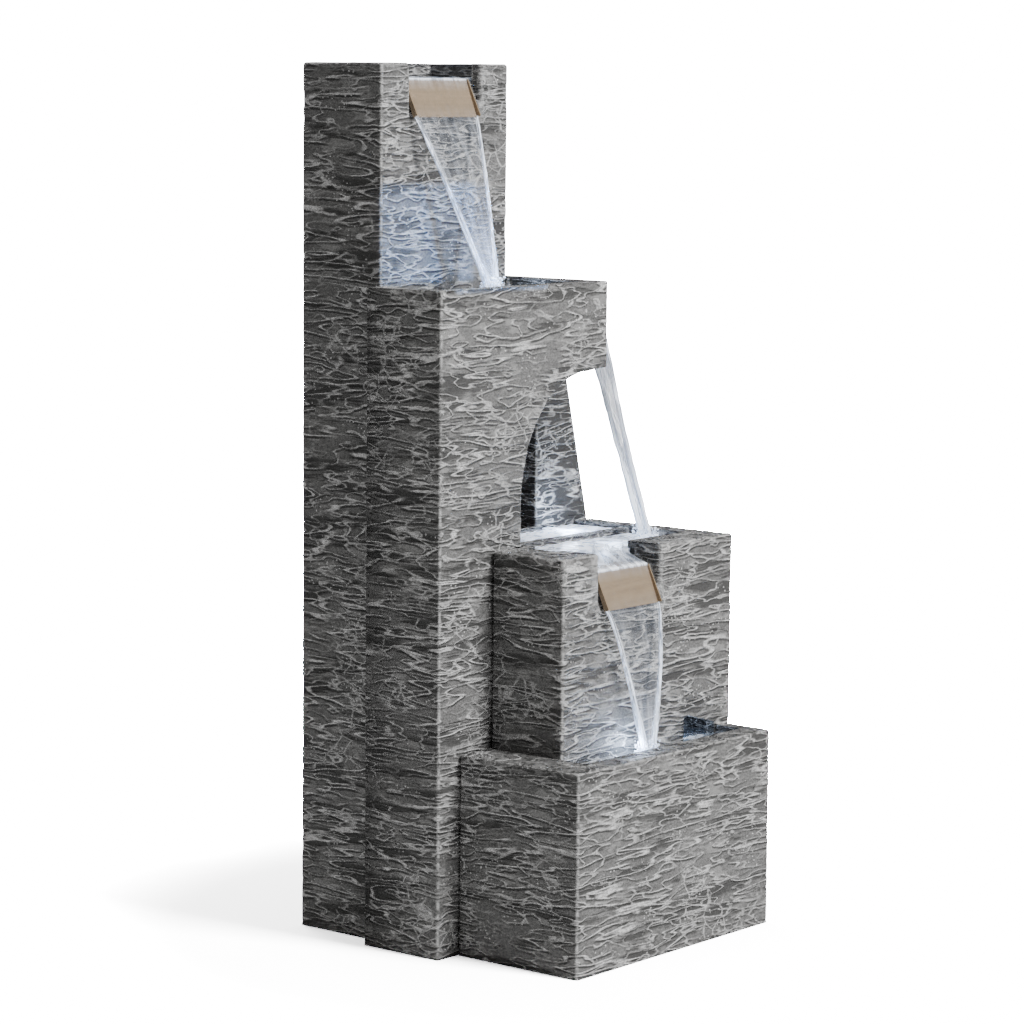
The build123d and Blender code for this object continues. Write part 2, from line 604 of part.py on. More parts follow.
def shaft_bushings():
    """Front and rear rubber bushings that hold the ceramic shaft."""
    front = pump_bar(3.95, VOLUTE_FRONT, VOLUTE_FRONT + VOLUTE_FRONT_WALL)
    rear = pump_bar(3.95, WELL_END, WELL_END + 4.5)
    bore_front = pump_bar(SHAFT_R, VOLUTE_FRONT - 1, VOLUTE_FRONT + VOLUTE_FRONT_WALL + 1)
    bore_rear = pump_bar(SHAFT_R, WELL_END - 1, WELL_END + 4.0)
    return [front - bore_front, rear - bore_rear]


def impeller_shaft():
    """Ceramic shaft that stands still in its two bushings."""
    return pump_bar(SHAFT_R, VOLUTE_FRONT, WELL_END + 4.0)


def impeller():
    """Open impeller with straight vanes on a hub that runs on the shaft."""
    wheel = pump_bar(4.5, IMPELLER_FRONT, MAGNET_FRONT)
    wheel += pump_bar(12.0, IMPELLER_BACK, IMPELLER_BACK + 1.5)
    for turn in range(VANES):
        vane = Pos(0, 0, IMPELLER_R / 2 + 1.0) * Box(1.6, IMPELLER_BACK - IMPELLER_FRONT, IMPELLER_R - 2.0)
        centre_y = (IMPELLER_FRONT + IMPELLER_BACK) / 2
        wheel += Pos(PUMP_X, centre_y, PUMP_AXIS_Z) * Rot(0, 360 / VANES * turn, 0) * vane
    return wheel - pump_bar(SHAFT_R + RUNNING_GAP, IMPELLER_FRONT - 1, MAGNET_FRONT + 1)


def rotor_magnet():
    """Cylindrical magnet behind the impeller."""
    magnet = pump_bar(MAGNET_R, MAGNET_FRONT, MAGNET_BACK)
    return magnet - pump_bar(SHAFT_R + RUNNING_GAP, MAGNET_FRONT - 1, MAGNET_BACK + 1)


def pump_intake_grille():
    """Slotted cover that slides off the front of the pump."""
    gap = 0.3
    back = VOLUTE_FRONT - gap
    cover = fillet(pump_square(GRILLE_FRONT, back).edges().filter_by(Axis.Y), 6.0)
    cover -= pump_square(GRILLE_FRONT + GRILLE_WALL, back + 1, GRILLE_WALL)
    for column in (-SLOT_COLUMN, SLOT_COLUMN):
        for row in range(-3, 4):
            x, z = PUMP_X + column, PUMP_AXIS_Z + SLOT_PITCH * row
            through = (GRILLE_FRONT - 1, GRILLE_FRONT + GRILLE_WALL + 1)
            across = (x - SLOT_LENGTH / 2, x + SLOT_LENGTH / 2)
            cover -= block(across, through, (z - SLOT_HALF, z + SLOT_HALF))
    for angle in PORT_ANGLES:
        port = Pos(0, 0, PORT_CIRCLE) * Rot(90, 0, 0) * Cylinder(PORT_R, 3 * GRILLE_WALL)
        cover -= Pos(PUMP_X, GRILLE_FRONT + GRILLE_WALL / 2, PUMP_AXIS_Z) * Rot(0, angle, 0) * port
    return cover - pump_bar(DIAL_PIN_R + RUNNING_GAP, GRILLE_FRONT - 1, GRILLE_FRONT + GRILLE_WALL + 1)


def flow_dial():
    """Rotary flow regulator on the intake grille: a disc with four ports and a finger bar."""
    face = GRILLE_FRONT - 0.3
    dial = pump_bar(DIAL_R, face - DIAL_THICK, face)
    dial += pump_bar(DIAL_PIN_R, face - 0.5, GRILLE_FRONT + GRILLE_WALL + 0.5)
    dial += pump_bar(DIAL_PIN_R + 1.5, GRILLE_FRONT + GRILLE_WALL + 0.3, GRILLE_FRONT + GRILLE_WALL + 1.5)
    for angle in PORT_ANGLES:
        port = Pos(0, 0, PORT_CIRCLE) * Rot(90, 0, 0) * Cylinder(PORT_R, 4 * DIAL_THICK)
        dial -= Pos(PUMP_X, face - DIAL_THICK / 2, PUMP_AXIS_Z) * Rot(0, angle, 0) * port
    outside = face - DIAL_THICK
    bar_x = (PUMP_X - DIAL_BAR_THICK / 2, PUMP_X + DIAL_BAR_THICK / 2)
    bar_z = (PUMP_AXIS_Z - DIAL_BAR_LENGTH / 2, PUMP_AXIS_Z + DIAL_BAR_LENGTH / 2)
    return dial + block(bar_x, (outside - DIAL_BAR_PROUD, outside + 0.5), bar_z)


def pump_suction_feet():
    """Four rubber feet between the pump and the chamber's floor."""
    feet = []
    underside = PUMP_AXIS_Z - PUMP_HALF
    for x in (PUMP_X - FOOT_SPREAD, PUMP_X + FOOT_SPREAD):
        for y in (MOTOR_FRONT + FOOT_INSET, MOTOR_BACK - FOOT_INSET):
            cup = Cone(FOOT_R, FOOT_R / 2, FOOT_HEIGHT)
            feet.append(Pos(x, y, underside - FOOT_HEIGHT / 2) * cup)
    return feet


# ---------------------------------------------------------------- lamps
def lamp_housing(place):
    """Round cup of a submersible lamp."""
    x, y, z = place
    cup = rod_z(x, y, LAMP_R, z, z + LAMP_HEIGHT)
    return cup - rod_z(x, y, LAMP_R - LAMP_WALL, z + LAMP_WALL, z + LAMP_HEIGHT + 1)


def lamp_lens(place):
    """Clear lens seated in the cup's mouth."""
    x, y, z = place
    top = z + LAMP_HEIGHT
    lens = rod_z(x, y, LAMP_R - LAMP_WALL, top - LENS_THICK, top + 1.0)
    return fillet(lens.faces().sort_by(Axis.Z)[-1].edges(), 0.9)


def lamp_boards():
    """Light-emitting boards under the lenses: a disc with three emitters each."""
    boards = []
    for x, y, z in LAMPS.values():
        board = rod_z(x, y, LAMP_R - LAMP_WALL - 1.0, z + LAMP_WALL, z + LAMP_WALL + 1.6)
        for turn in range(3):
            chip_x, chip_y = x + 6.0 * cos(2 * pi * turn / 3), y + 6.0 * sin(2 * pi * turn / 3)
            board += Pos(chip_x, chip_y, z + LAMP_WALL + 2.2) * Box(4.0, 4.0, 1.6)
        boards.append(board)
    return boards


# ---------------------------------------------------------------- service door and small fittings
def access_door():
    """Service door, flush with the wall, its hinge edge rounded about the pins."""
    low_x = MID_RIGHT - DOOR_THICK
    panel = block((low_x, MID_RIGHT), (HINGE_Y, DOOR_Y[1]), DOOR_Z)
    panel += rod_z(HINGE_X, HINGE_Y, DOOR_THICK / 2, *DOOR_Z)
    panel -= rod_z(HINGE_X, HINGE_Y, PIN_R, DOOR_Z[0] - 1, DOOR_Z[0] + PIN_REACH)
    panel -= rod_z(HINGE_X, HINGE_Y, PIN_R, DOOR_Z[1] - PIN_REACH, DOOR_Z[1] + 1)
    panel -= rod_x(LATCH_Y, LATCH_Z, LATCH_SHAFT_R + RUNNING_GAP, low_x - 1, MID_RIGHT + 1)
    return panel - rod_x(LATCH_Y, LATCH_Z, LATCH_KNOB_R + 0.3, MID_RIGHT - LATCH_KNOB_DEPTH, MID_RIGHT + 1)


def door_hinge_pins():
    """Steel pins fixed in the door's top and bottom edges."""
    reach = PIN_REACH - 0.5
    return [
        rod_z(HINGE_X, HINGE_Y, PIN_R, DOOR_Z[0] - reach, DOOR_Z[0] + PIN_REACH),
        rod_z(HINGE_X, HINGE_Y, PIN_R, DOOR_Z[1] - PIN_REACH, DOOR_Z[1] + reach),
    ]


def door_latch():
    """Flush quarter-turn knob with a coin slot and its square-ended shaft."""
    low_x = MID_RIGHT - LATCH_KNOB_DEPTH + 0.3
    knob = rod_x(LATCH_Y, LATCH_Z, LATCH_KNOB_R, low_x, MID_RIGHT)
    shaft_end = MID_RIGHT - MID_WALL - CAM_GAP
    knob += rod_x(LATCH_Y, LATCH_Z, LATCH_SHAFT_R, shaft_end, low_x + 0.5)
    slot_y = (LATCH_Y - COIN_SLOT_WIDTH / 2, LATCH_Y + COIN_SLOT_WIDTH / 2)
    slot_z = (LATCH_Z - COIN_SLOT_LENGTH / 2, LATCH_Z + COIN_SLOT_LENGTH / 2)
    return knob - block((MID_RIGHT - COIN_SLOT_DEPTH, MID_RIGHT + 1), slot_y, slot_z)


def latch_cam():
    """Cam tongue behind the door. Turned up it is open; a quarter turn takes it behind the wall."""
    high_x = MID_RIGHT - MID_WALL - CAM_GAP
    low_x = high_x - CAM_THICK
    width = (LATCH_Y - CAM_HALF, LATCH_Y + CAM_HALF)
    tongue = block((low_x, high_x), width, (LATCH_Z - CAM_HALF, LATCH_Z + CAM_REACH))
    return tongue - rod_x(LATCH_Y, LATCH_Z, CAM_SCREW_R + RUNNING_GAP, low_x - 1, high_x + 1)


def cam_screw():
    """Screw that holds the cam on the latch shaft's end."""
    low_x = MID_RIGHT - MID_WALL - CAM_GAP - CAM_THICK
    head = rod_x(LATCH_Y, LATCH_Z, CAM_SCREW_HEAD_R, low_x - 2.0, low_x)
    return head + rod_x(LATCH_Y, LATCH_Z, CAM_SCREW_R, low_x - 0.5, low_x + CAM_THICK)


def drain_plug():
    """Rubber plug in the chamber's side wall, with a pull rib in its recessed head."""
    head_out = MID_RIGHT - 0.6
    head_in = head_out - DRAIN_HEAD
    plug = rod_x(DRAIN_Y, DRAIN_Z, DRAIN_R - RUNNING_GAP, MID_RIGHT - MID_WALL - 4.0, head_in + 0.5)
    plug += rod_x(DRAIN_Y, DRAIN_Z, DRAIN_HEAD_R, head_in, head_out)
    ring = rod_x(DRAIN_Y, DRAIN_Z, DRAIN_HEAD_R - 2.0, head_out - 2.0, head_out + 1)
    rib = block((head_in, head_out), (DRAIN_Y - 1.5, DRAIN_Y + 1.5), (DRAIN_Z - 11.5, DRAIN_Z + 11.5))
    return plug - ring + rib


def cable_grommet():
    """Rubber grommet in the tower's rear wall, where the leads leave."""
    sleeve = rod_y(GROMMET_X, GROMMET_Z, GROMMET_R, BACK - SKIN - 2.5, BACK - 0.1)
    sleeve += rod_y(GROMMET_X, GROMMET_Z, GROMMET_R + 3.0, BACK - SKIN - 2.5, BACK - SKIN)
    return sleeve - rod_y(GROMMET_X, GROMMET_Z, 3.2, BACK - SKIN - 4.0, BACK + 1)


def hose_grommets():
    """Rubber sleeves round the hose where it passes the two touching walls."""
    back = TOWER_FRONT - SEAT_GAP
    inner = rod_y(PUMP_X, HOSE_CROSS_Z, HOSE_HOLE_R, back - MID_WALL, back)
    inner += rod_y(PUMP_X, HOSE_CROSS_Z, HOSE_HOLE_R + 3.0, back - MID_WALL - 2.0, back - MID_WALL)
    outer = rod_y(PUMP_X, HOSE_CROSS_Z, HOSE_HOLE_R, TOWER_FRONT, TOWER_FRONT + SKIN)
    outer += rod_y(PUMP_X, HOSE_CROSS_Z, HOSE_HOLE_R + 3.0, TOWER_FRONT + SKIN, TOWER_FRONT + SKIN + 2.0)
    bore = rod_y(PUMP_X, HOSE_CROSS_Z, HOSE_R, back - MID_WALL - 4.0, TOWER_FRONT + SKIN + 4.0)
    return [inner - bore, outer - bore]


NODES = {
    "tower_shell": tower_shell,
    "arch_pool_shell": arch_pool_shell,
    "rear_buttress": rear_buttress,
    "mid_basin_shell": mid_basin_shell,
    "lower_basin_shell": lower_basin_shell,
    "upper_spillway_plate": upper_spillway_plate,
    "middle_spillway_plate": middle_spillway_plate,
    "side_spout": side_spout,
    "spillway_screws": spillway_screws,
    "riser_hose": riser_hose,
    "header_fitting": header_fitting,
    "header_fitting_nut": header_fitting_nut,
    "hose_clamps": hose_clamps,
    "hose_grommets": hose_grommets,
    "pump_motor_body": pump_motor_body,
    "pump_volute_cover": pump_volute_cover,
    "pump_intake_grille": pump_intake_grille,
    "flow_dial": flow_dial,
    "impeller": impeller,
    "rotor_magnet": rotor_magnet,
    "impeller_shaft": impeller_shaft,
    "shaft_bushings": shaft_bushings,
    "pump_suction_feet": pump_suction_feet,
    "lamp_boards": lamp_boards,
    "access_door": access_door,
    "door_hinge_pins": door_hinge_pins,
    "door_latch": door_latch,
    "latch_cam": latch_cam,
    "cam_screw": cam_screw,
    "drain_plug": drain_plug,
    "cable_grommet": cable_grommet,
}


def export_all():
    """Write one STEP file for each node."""
    os.makedirs("parts", exist_ok=True)
    shapes = {name: build() for name, build in NODES.items()}
    for lamp, place in LAMPS.items():
        shapes[f"{lamp}_housing"] = lamp_housing(place)
        shapes[f"{lamp}_lens"] = lamp_lens(place)
    for name, shape in shapes.items():
        group = Compound(children=list(shape)) if isinstance(shape, list) else shape
        export_step(group, f"parts/{name}.step")


export_all()
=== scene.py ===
"""Looks of the three-level patio cascade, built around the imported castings, plates, pump and lamps."""

import logging
import math
import random
from dataclasses import dataclass, field
from enum import Enum
from typing import Iterable, Sequence

import bmesh
import bpy
import numpy as np
from mathutils import Matrix, Vector, noise


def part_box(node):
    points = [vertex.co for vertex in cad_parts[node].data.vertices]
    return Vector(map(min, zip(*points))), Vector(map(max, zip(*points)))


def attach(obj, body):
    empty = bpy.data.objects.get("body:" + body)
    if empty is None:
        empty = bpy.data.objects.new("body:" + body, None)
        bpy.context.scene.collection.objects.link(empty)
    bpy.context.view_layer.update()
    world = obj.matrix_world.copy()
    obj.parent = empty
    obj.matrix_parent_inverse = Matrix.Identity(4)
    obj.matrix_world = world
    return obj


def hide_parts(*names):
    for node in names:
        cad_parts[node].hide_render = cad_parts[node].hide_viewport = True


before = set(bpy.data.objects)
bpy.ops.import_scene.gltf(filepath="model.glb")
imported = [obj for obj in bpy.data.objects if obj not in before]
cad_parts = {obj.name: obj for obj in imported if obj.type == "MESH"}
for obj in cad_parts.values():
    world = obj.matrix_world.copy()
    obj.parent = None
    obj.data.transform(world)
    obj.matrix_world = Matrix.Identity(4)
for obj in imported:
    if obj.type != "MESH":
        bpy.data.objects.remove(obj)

LOG = logging.getLogger("cascade")
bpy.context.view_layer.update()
MM = 0.001
ROOT = "root"
Point = tuple[float, float, float]
Span = tuple[float, float]


class Slot(Enum):
    """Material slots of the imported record."""

    STONE = "cast_stone"
    STEEL = "stainless"
    HOSE = "hose_vinyl"
    BLACK = "black_plastic"
    GREY = "grey_plastic"
    RUBBER = "black_rubber"
    FERRITE = "ferrite"
    CERAMIC = "white_ceramic"
    LENS = "lamp_lens"
    BOARD = "lamp_board"
    WATER = "water"


class Level(Enum):
    """The four water levels, each the height of its surface in millimetres."""

    HEADER = 984.0
    UPPER = 741.0
    SHELF = 449.5
    MIDDLE = 446.0
    TROUGH = 218.0


# ------------------------------------------------------------------ node trees
class Desk:
    """A short way to lay nodes in one node tree, whether it shades or shapes."""

    def __init__(self, tree: bpy.types.NodeTree) -> None:
        """Start on an empty tree.

        Args:
            tree: The shader, world or geometry tree to fill.
        """
        self.tree = tree

    def node(self, kind: str, **settings: object) -> bpy.types.Node:
        """Add one node.

        Args:
            kind: The node's type name.
            **settings: Properties to set on it.

        Returns:
            The new node.
        """
        made = self.tree.nodes.new(kind)
        for name, value in settings.items():
            setattr(made, name, value)
        return made

    def feed(self, node: bpy.types.Node, values: dict) -> bpy.types.Node:
        """Set or link inputs of a node.

        Args:
            node: The node whose inputs are set.
            values: Input name or number, and a socket or a plain value for it.

        Returns:
            The same node.
        """
        for key, value in values.items():
            socket = node.inputs[key]
            if isinstance(value, bpy.types.NodeSocket):
                self.tree.links.new(value, socket)
            else:
                socket.default_value = value
        return node

    def math(self, operation: str, a: object, b: object = 0.0, clamp: bool = False) -> bpy.types.NodeSocket:
        """Return the value of one sum, product or other operation on two values."""
        node = self.node("ShaderNodeMath", operation=operation, use_clamp=clamp)
        return self.feed(node, {0: a, 1: b}).outputs[0]

    def vector(self, operation: str, a: object, b: object) -> bpy.types.NodeSocket:
        """Return the vector of one operation on two vectors."""
        return self.feed(self.node("ShaderNodeVectorMath", operation=operation), {0: a, 1: b}).outputs[0]

    def times(self, a: object, b: object, clamp: bool = False) -> bpy.types.NodeSocket:
        """Return the product of two values."""
        return self.math("MULTIPLY", a, b, clamp)

    def plus(self, a: object, b: object, clamp: bool = False) -> bpy.types.NodeSocket:
        """Return the sum of two values."""
        return self.math("ADD", a, b, clamp)

    def most(self, a: object, b: object) -> bpy.types.NodeSocket:
        """Return the larger of two values."""
        return self.math("MAXIMUM", a, b)

    def stretched(self, place: object, scale: object) -> bpy.types.NodeSocket:
        """Return a place with each axis times its own scale."""
        return self.vector("MULTIPLY", place, scale)

    def split(self, vector: object) -> bpy.types.Node:
        """Return a node whose outputs are the three parts of a vector."""
        return self.feed(self.node("ShaderNodeSeparateXYZ"), {0: vector})

    def ramp(
        self, value: object, low: float, high: float, start: float = 0.0, end: float = 1.0
    ) -> bpy.types.NodeSocket:
        """Return a smooth step of a value from start at low to end at high."""
        node = self.node("ShaderNodeMapRange", interpolation_type="SMOOTHSTEP")
        return self.feed(node, {0: value, 1: low, 2: high, 3: start, 4: end}).outputs[0]

    def noise(self, place: object, scale: float, detail: float = 2.0, rough: float = 0.5) -> bpy.types.Node:
        """Return a noise node at a place."""
        node = self.node("ShaderNodeTexNoise", noise_dimensions="3D")
        return self.feed(node, {"Vector": place, "Scale": scale, "Detail": detail, "Roughness": rough})

    def blend(self, share: object, a: object, b: object) -> bpy.types.NodeSocket:
        """Return a mix of two colours by a share."""
        node = self.node("ShaderNodeMix", data_type="RGBA")
        self.feed(node, {0: share, 6: a, 7: b})
        return node.outputs[2]

    def mix_vector(self, share: object, a: object, b: object) -> bpy.types.NodeSocket:
        """Return a mix of two vectors by a share."""
        node = self.node("ShaderNodeMix", data_type="VECTOR")
        self.feed(node, {0: share, 4: a, 5: b})
        return node.outputs[1]


def rgb(red: float, green: float, blue: float) -> tuple[float, float, float, float]:
    """Return an opaque linear colour."""
    return (red, green, blue, 1.0)


def group_tree(name: str, inputs: dict, outputs: dict, kind: str = "ShaderNodeTree") -> tuple:
    """Make an empty node group with its sockets.

    Args:
        name: The group's name.
        inputs: Socket name and (type, default) for each input.
        outputs: Socket name and type for each output.
        kind: The tree's type.

    Returns:
        The tree, a desk on it, its input node and its output node.
    """
    tree = bpy.data.node_groups.new(name, kind)
    for label, (socket_type, default) in inputs.items():
        socket = tree.interface.new_socket(label, in_out="INPUT", socket_type=socket_type)
        if default is not None:
            socket.default_value = default
    for label, socket_type in outputs.items():
        tree.interface.new_socket(label, in_out="OUTPUT", socket_type=socket_type)
    desk = Desk(tree)
    return tree, desk, desk.node("NodeGroupInput"), desk.node("NodeGroupOutput")


def shaping_tree(name: str, inputs: dict) -> tuple:
    """Make an empty geometry group, with its Geometry and Finish sockets.

    Args:
        name: The group's name.
        inputs: Socket name and (type, default) for each further input.

    Returns:
        The tree, a desk on it, its input node and its output node.
    """
    sockets = {"Geometry": ("NodeSocketGeometry", None), **inputs, "Finish": ("NodeSocketMaterial", None)}
    return group_tree(name, sockets, {"Geometry": "NodeSocketGeometry"}, "GeometryNodeTree")


def end_shaping(desk: Desk, shaped: bpy.types.Node, entry: bpy.types.Node, leave: bpy.types.Node) -> None:
    """End a geometry tree with real instances and its finish.

    Args:
        desk: The desk on the tree.
        shaped: The node that gives the shape.
        entry: The group's input node.
        leave: The group's output node.
    """
    whole = desk.feed(desk.node("GeometryNodeRealizeInstances"), {"Geometry": shaped.outputs[0]})
    values = {"Geometry": whole.outputs[0], "Material": entry.outputs["Finish"]}
    dressed = desk.feed(desk.node("GeometryNodeSetMaterial"), values)
    desk.tree.links.new(dressed.outputs[0], leave.inputs["Geometry"])


# ------------------------------------------------------------------ cast stone
@dataclass(frozen=True)
class Strata:
    """Long drawn lines with a painted shadow under them, soft streaks, squiggles and net cracks of the cast
    stone, by place in the object.
    """

    streak: Point = (9.0, 9.0, 66.0)
    streak_on_top: Point = (70.0, 70.0, 70.0)
    drawn: Point = (3.4, 3.4, 31.0)
    drawn_on_top: Point = (34.0, 34.0, 34.0)
    squiggle: Point = (24.0, 24.0, 92.0)
    blot: Point = (22.0, 22.0, 52.0)
    net: Point = (40.0, 40.0, 66.0)
    speck: Point = (170.0, 170.0, 200.0)
    grain: Point = (330.0, 330.0, 520.0)
    gaps: Point = (16.0, 16.0, 46.0)
    drawn_lines: float = 11.0
    overhang: float = 0.0021
    wander_scale: float = 16.0
    wander: Point = (0.022, 0.022, 0.0075)
    curled_scale: float = 19.0
    netted_scale: float = 13.0
    dotted_scale: float = 26.0
    streak_depth: float = 0.55
    line_rise: float = 0.3

    RISES = (
        ("squiggle", 0.26),
        ("blot", 0.2),
        ("net", 0.2),
        ("speck", 0.14),
        ("grain", 0.25),
        ("shadow", -0.25),
    )

    def course(self, desk: Desk, place: object, up: object, wide: float) -> bpy.types.NodeSocket:
        """Return how near a place is to the middle of a drawn line, from 0 to 1."""
        at = desk.stretched(place, desk.mix_vector(up, self.drawn, self.drawn_on_top))
        drawn = desk.times(desk.noise(at, 1.0, 2.0, 0.5).outputs[0], self.drawn_lines)
        phase = desk.math("ABSOLUTE", desk.math("SUBTRACT", desk.math("FRACT", drawn), 0.5))
        return desk.ramp(phase, 0.03, wide, 1.0, 0.0)

    def curl(self, desk: Desk, place: object) -> bpy.types.NodeSocket:
        """Return how near a place is to the middle of a squiggle, from 0 to 1."""
        curl = desk.noise(desk.stretched(place, self.squiggle), 1.0, 1.0, 0.5).outputs[0]
        return desk.ramp(desk.math("ABSOLUTE", desk.math("SUBTRACT", curl, 0.5)), 0.006, 0.042, 1.0, 0.0)

    def patches(
        self, desk: Desk, place: object, scale: float, low: float, high: float
    ) -> bpy.types.NodeSocket:
        """Return a mask of soft patches, from 0 to 1."""
        return desk.ramp(desk.noise(place, scale, 1.0).outputs[0], low, high)

    def cells(self, desk: Desk, at: object, feature: str) -> bpy.types.NodeSocket:
        """Return the distance that a cell pattern gives for one feature."""
        node = desk.feed(desk.node("ShaderNodeTexVoronoi", feature=feature), {"Vector": at, "Scale": 1.0})
        return node.outputs["Distance"]

    def lay(self, desk: Desk, place: object, up: object, fine: bool) -> dict[str, bpy.types.NodeSocket]:
        """Lay the pattern's nodes in a tree.

        Args:
            desk: The desk on the tree.
            place: Position in metres.
            up: How far the surface faces up, from 0 to 1.
            fine: True for the shader, which also draws what is too small for the mesh.

        Returns:
            The sockets streak, line and height, and where fine, also squiggle, shadow, blot, net, speck and
            grain.
        """
        warp = desk.noise(place, self.wander_scale, 3.0, 0.6)
        centred = desk.vector("SUBTRACT", warp.outputs["Color"], (0.5, 0.5, 0.5))
        wandering = desk.vector("ADD", place, desk.stretched(centred, self.wander))
        streak_at = desk.stretched(wandering, desk.mix_vector(up, self.streak, self.streak_on_top))
        streak = desk.noise(streak_at, 1.0, 3.0 if fine else 2.0, 0.6).outputs[0]
        sunk = desk.ramp(streak, 0.38, 0.5, 1.0, 0.0)
        kept = self.patches(desk, desk.stretched(place, self.gaps), 1.0, 0.36, 0.5)
        line = desk.times(self.course(desk, wandering, up, 0.13 if fine else 0.25), kept)
        height = desk.math("SUBTRACT", self.streak_depth, desk.times(sunk, self.streak_depth))
        height = desk.plus(height, desk.times(line, self.line_rise))
        found = {"streak": sunk, "line": line}
        if fine:
            found.update(self.lay_fine(desk, place, wandering, up, kept))
            for name, share in self.RISES:
                height = desk.plus(height, desk.times(found[name], share))
        found["height"] = height
        return found

    def lay_fine(
        self, desk: Desk, place: object, wandering: object, up: object, kept: object
    ) -> dict[str, bpy.types.NodeSocket]:
        """Lay what only the shader draws.

        Args:
            desk: The desk on the tree.
            place: Position in metres.
            wandering: The same position, pushed about so that lines waver.
            up: How far the surface faces up, from 0 to 1.
            kept: Where drawn lines are kept, from 0 to 1.

        Returns:
            The sockets squiggle, shadow, blot, net, speck and grain.
        """
        curled = desk.ramp(desk.noise(place, self.curled_scale, 1.0).outputs[0], 0.38, 0.52, 0.3, 1.0)
        # Painted shadow: the lines and squiggles are drawn again a little higher, which paints a dark band
        # just under each.
        above = desk.vector("ADD", wandering, (0.0, 0.0, self.overhang))
        under = desk.times(self.course(desk, above, up, 0.17), kept)
        blot = desk.noise(desk.stretched(wandering, self.blot), 1.0, 2.0, 0.6).outputs[0]
        netted = self.patches(desk, place, self.netted_scale, 0.58, 0.66)
        borders = self.cells(desk, desk.stretched(wandering, self.net), "DISTANCE_TO_EDGE")
        mesh = desk.ramp(borders, 0.0, 0.08, 1.0, 0.0)
        dotted = self.patches(desk, place, self.dotted_scale, 0.52, 0.64)
        dots = desk.ramp(self.cells(desk, desk.stretched(place, self.speck), "F1"), 0.12, 0.3, 1.0, 0.0)
        return {
            "squiggle": desk.times(self.curl(desk, wandering), curled),
            "shadow": desk.most(under, desk.times(self.curl(desk, above), desk.times(curled, 0.8))),
            "blot": desk.ramp(blot, 0.53, 0.62),
            "net": desk.times(mesh, netted),
            "speck": desk.times(dots, dotted),
            "grain": desk.noise(desk.stretched(place, self.grain), 1.0, 3.0, 0.7).outputs[0],
        }


STRATA = Strata()
FACING_UP = (0.6, 0.9)


def strata_group() -> bpy.types.NodeTree:
    """Make the shader group that draws the cast stone's courses and lines.

    Returns:
        The group, with the outputs Height, Streak, Line, Squiggle, Shadow, Blot, Net, Speck and Grain.
    """
    names = ("Height", "Streak", "Line", "Squiggle", "Shadow", "Blot", "Net", "Speck", "Grain")
    tree, desk, entry, leave = group_tree(
        "strata",
        {"Place": ("NodeSocketVector", None), "Up": ("NodeSocketFloat", 0.0)},
        {name: "NodeSocketFloat" for name in names},
    )
    found = STRATA.lay(desk, entry.outputs["Place"], entry.outputs["Up"], fine=True)
    for name in names:
        desk.tree.links.new(found[name.lower()], leave.inputs[name])
    return tree


def wear_group() -> bpy.types.NodeTree:
    """Make the shader group that rubs a finish in patches along exposed edges.

    Returns:
        The group, with the output Worn.
    """
    sockets = {
        "Place": ("NodeSocketVector", None),
        "Edge": ("NodeSocketFloat", 0.0),
        "Amount": ("NodeSocketFloat", 0.5),
    }
    tree, desk, entry, leave = group_tree("edge_wear", sockets, {"Worn": "NodeSocketFloat"})
    patchy = desk.noise(entry.outputs["Place"], 130.0, 3.0)
    share = desk.times(entry.outputs["Edge"], desk.ramp(patchy.outputs[0], 0.35, 0.6))
    desk.tree.links.new(desk.times(share, entry.outputs["Amount"], clamp=True), leave.inputs["Worn"])
    return tree


class Groups:
    """The shared shader groups, each built once."""

    strata: bpy.types.NodeTree
    wear: bpy.types.NodeTree

    @classmethod
    def build(cls) -> None:
        """Build every group."""
        cls.strata = strata_group()
        cls.wear = wear_group()


class Finish:
    """A material with its principled shader and the places that its patterns read."""

    def __init__(self, name: str) -> None:
        """Start a material.

        Args:
            name: The material's name.
        """
        self.material = bpy.data.materials.new(name)
        self.material.use_nodes = True
        self.desk = Desk(self.material.node_tree)
        self.shader = self.material.node_tree.nodes["Principled BSDF"]
        self.place = self.desk.node("ShaderNodeTexCoord").outputs["Object"]

    def group(self, tree: bpy.types.NodeTree, values: dict) -> bpy.types.Node:
        """Place a shared group in the material with its own values."""
        return self.desk.feed(self.desk.node("ShaderNodeGroup", node_tree=tree), values)

    def attribute(self, name: str) -> bpy.types.Node:
        """Return a node that reads a mesh attribute."""
        return self.desk.node("ShaderNodeAttribute", attribute_name=name)

    def set(self, **values: object) -> None:
        """Set or link the shader's inputs; an underscore stands for a space."""
        self.desk.feed(self.shader, {key.replace("_", " "): value for key, value in values.items()})

    def bump(self, height: object, depth: float, strength: float = 1.0) -> None:
        """Feed a height in metres into the shader's normal."""
        values = {"Height": height, "Distance": depth, "Strength": strength}
        node = self.desk.feed(self.desk.node("ShaderNodeBump"), values)
        self.set(Normal=node.outputs[0])


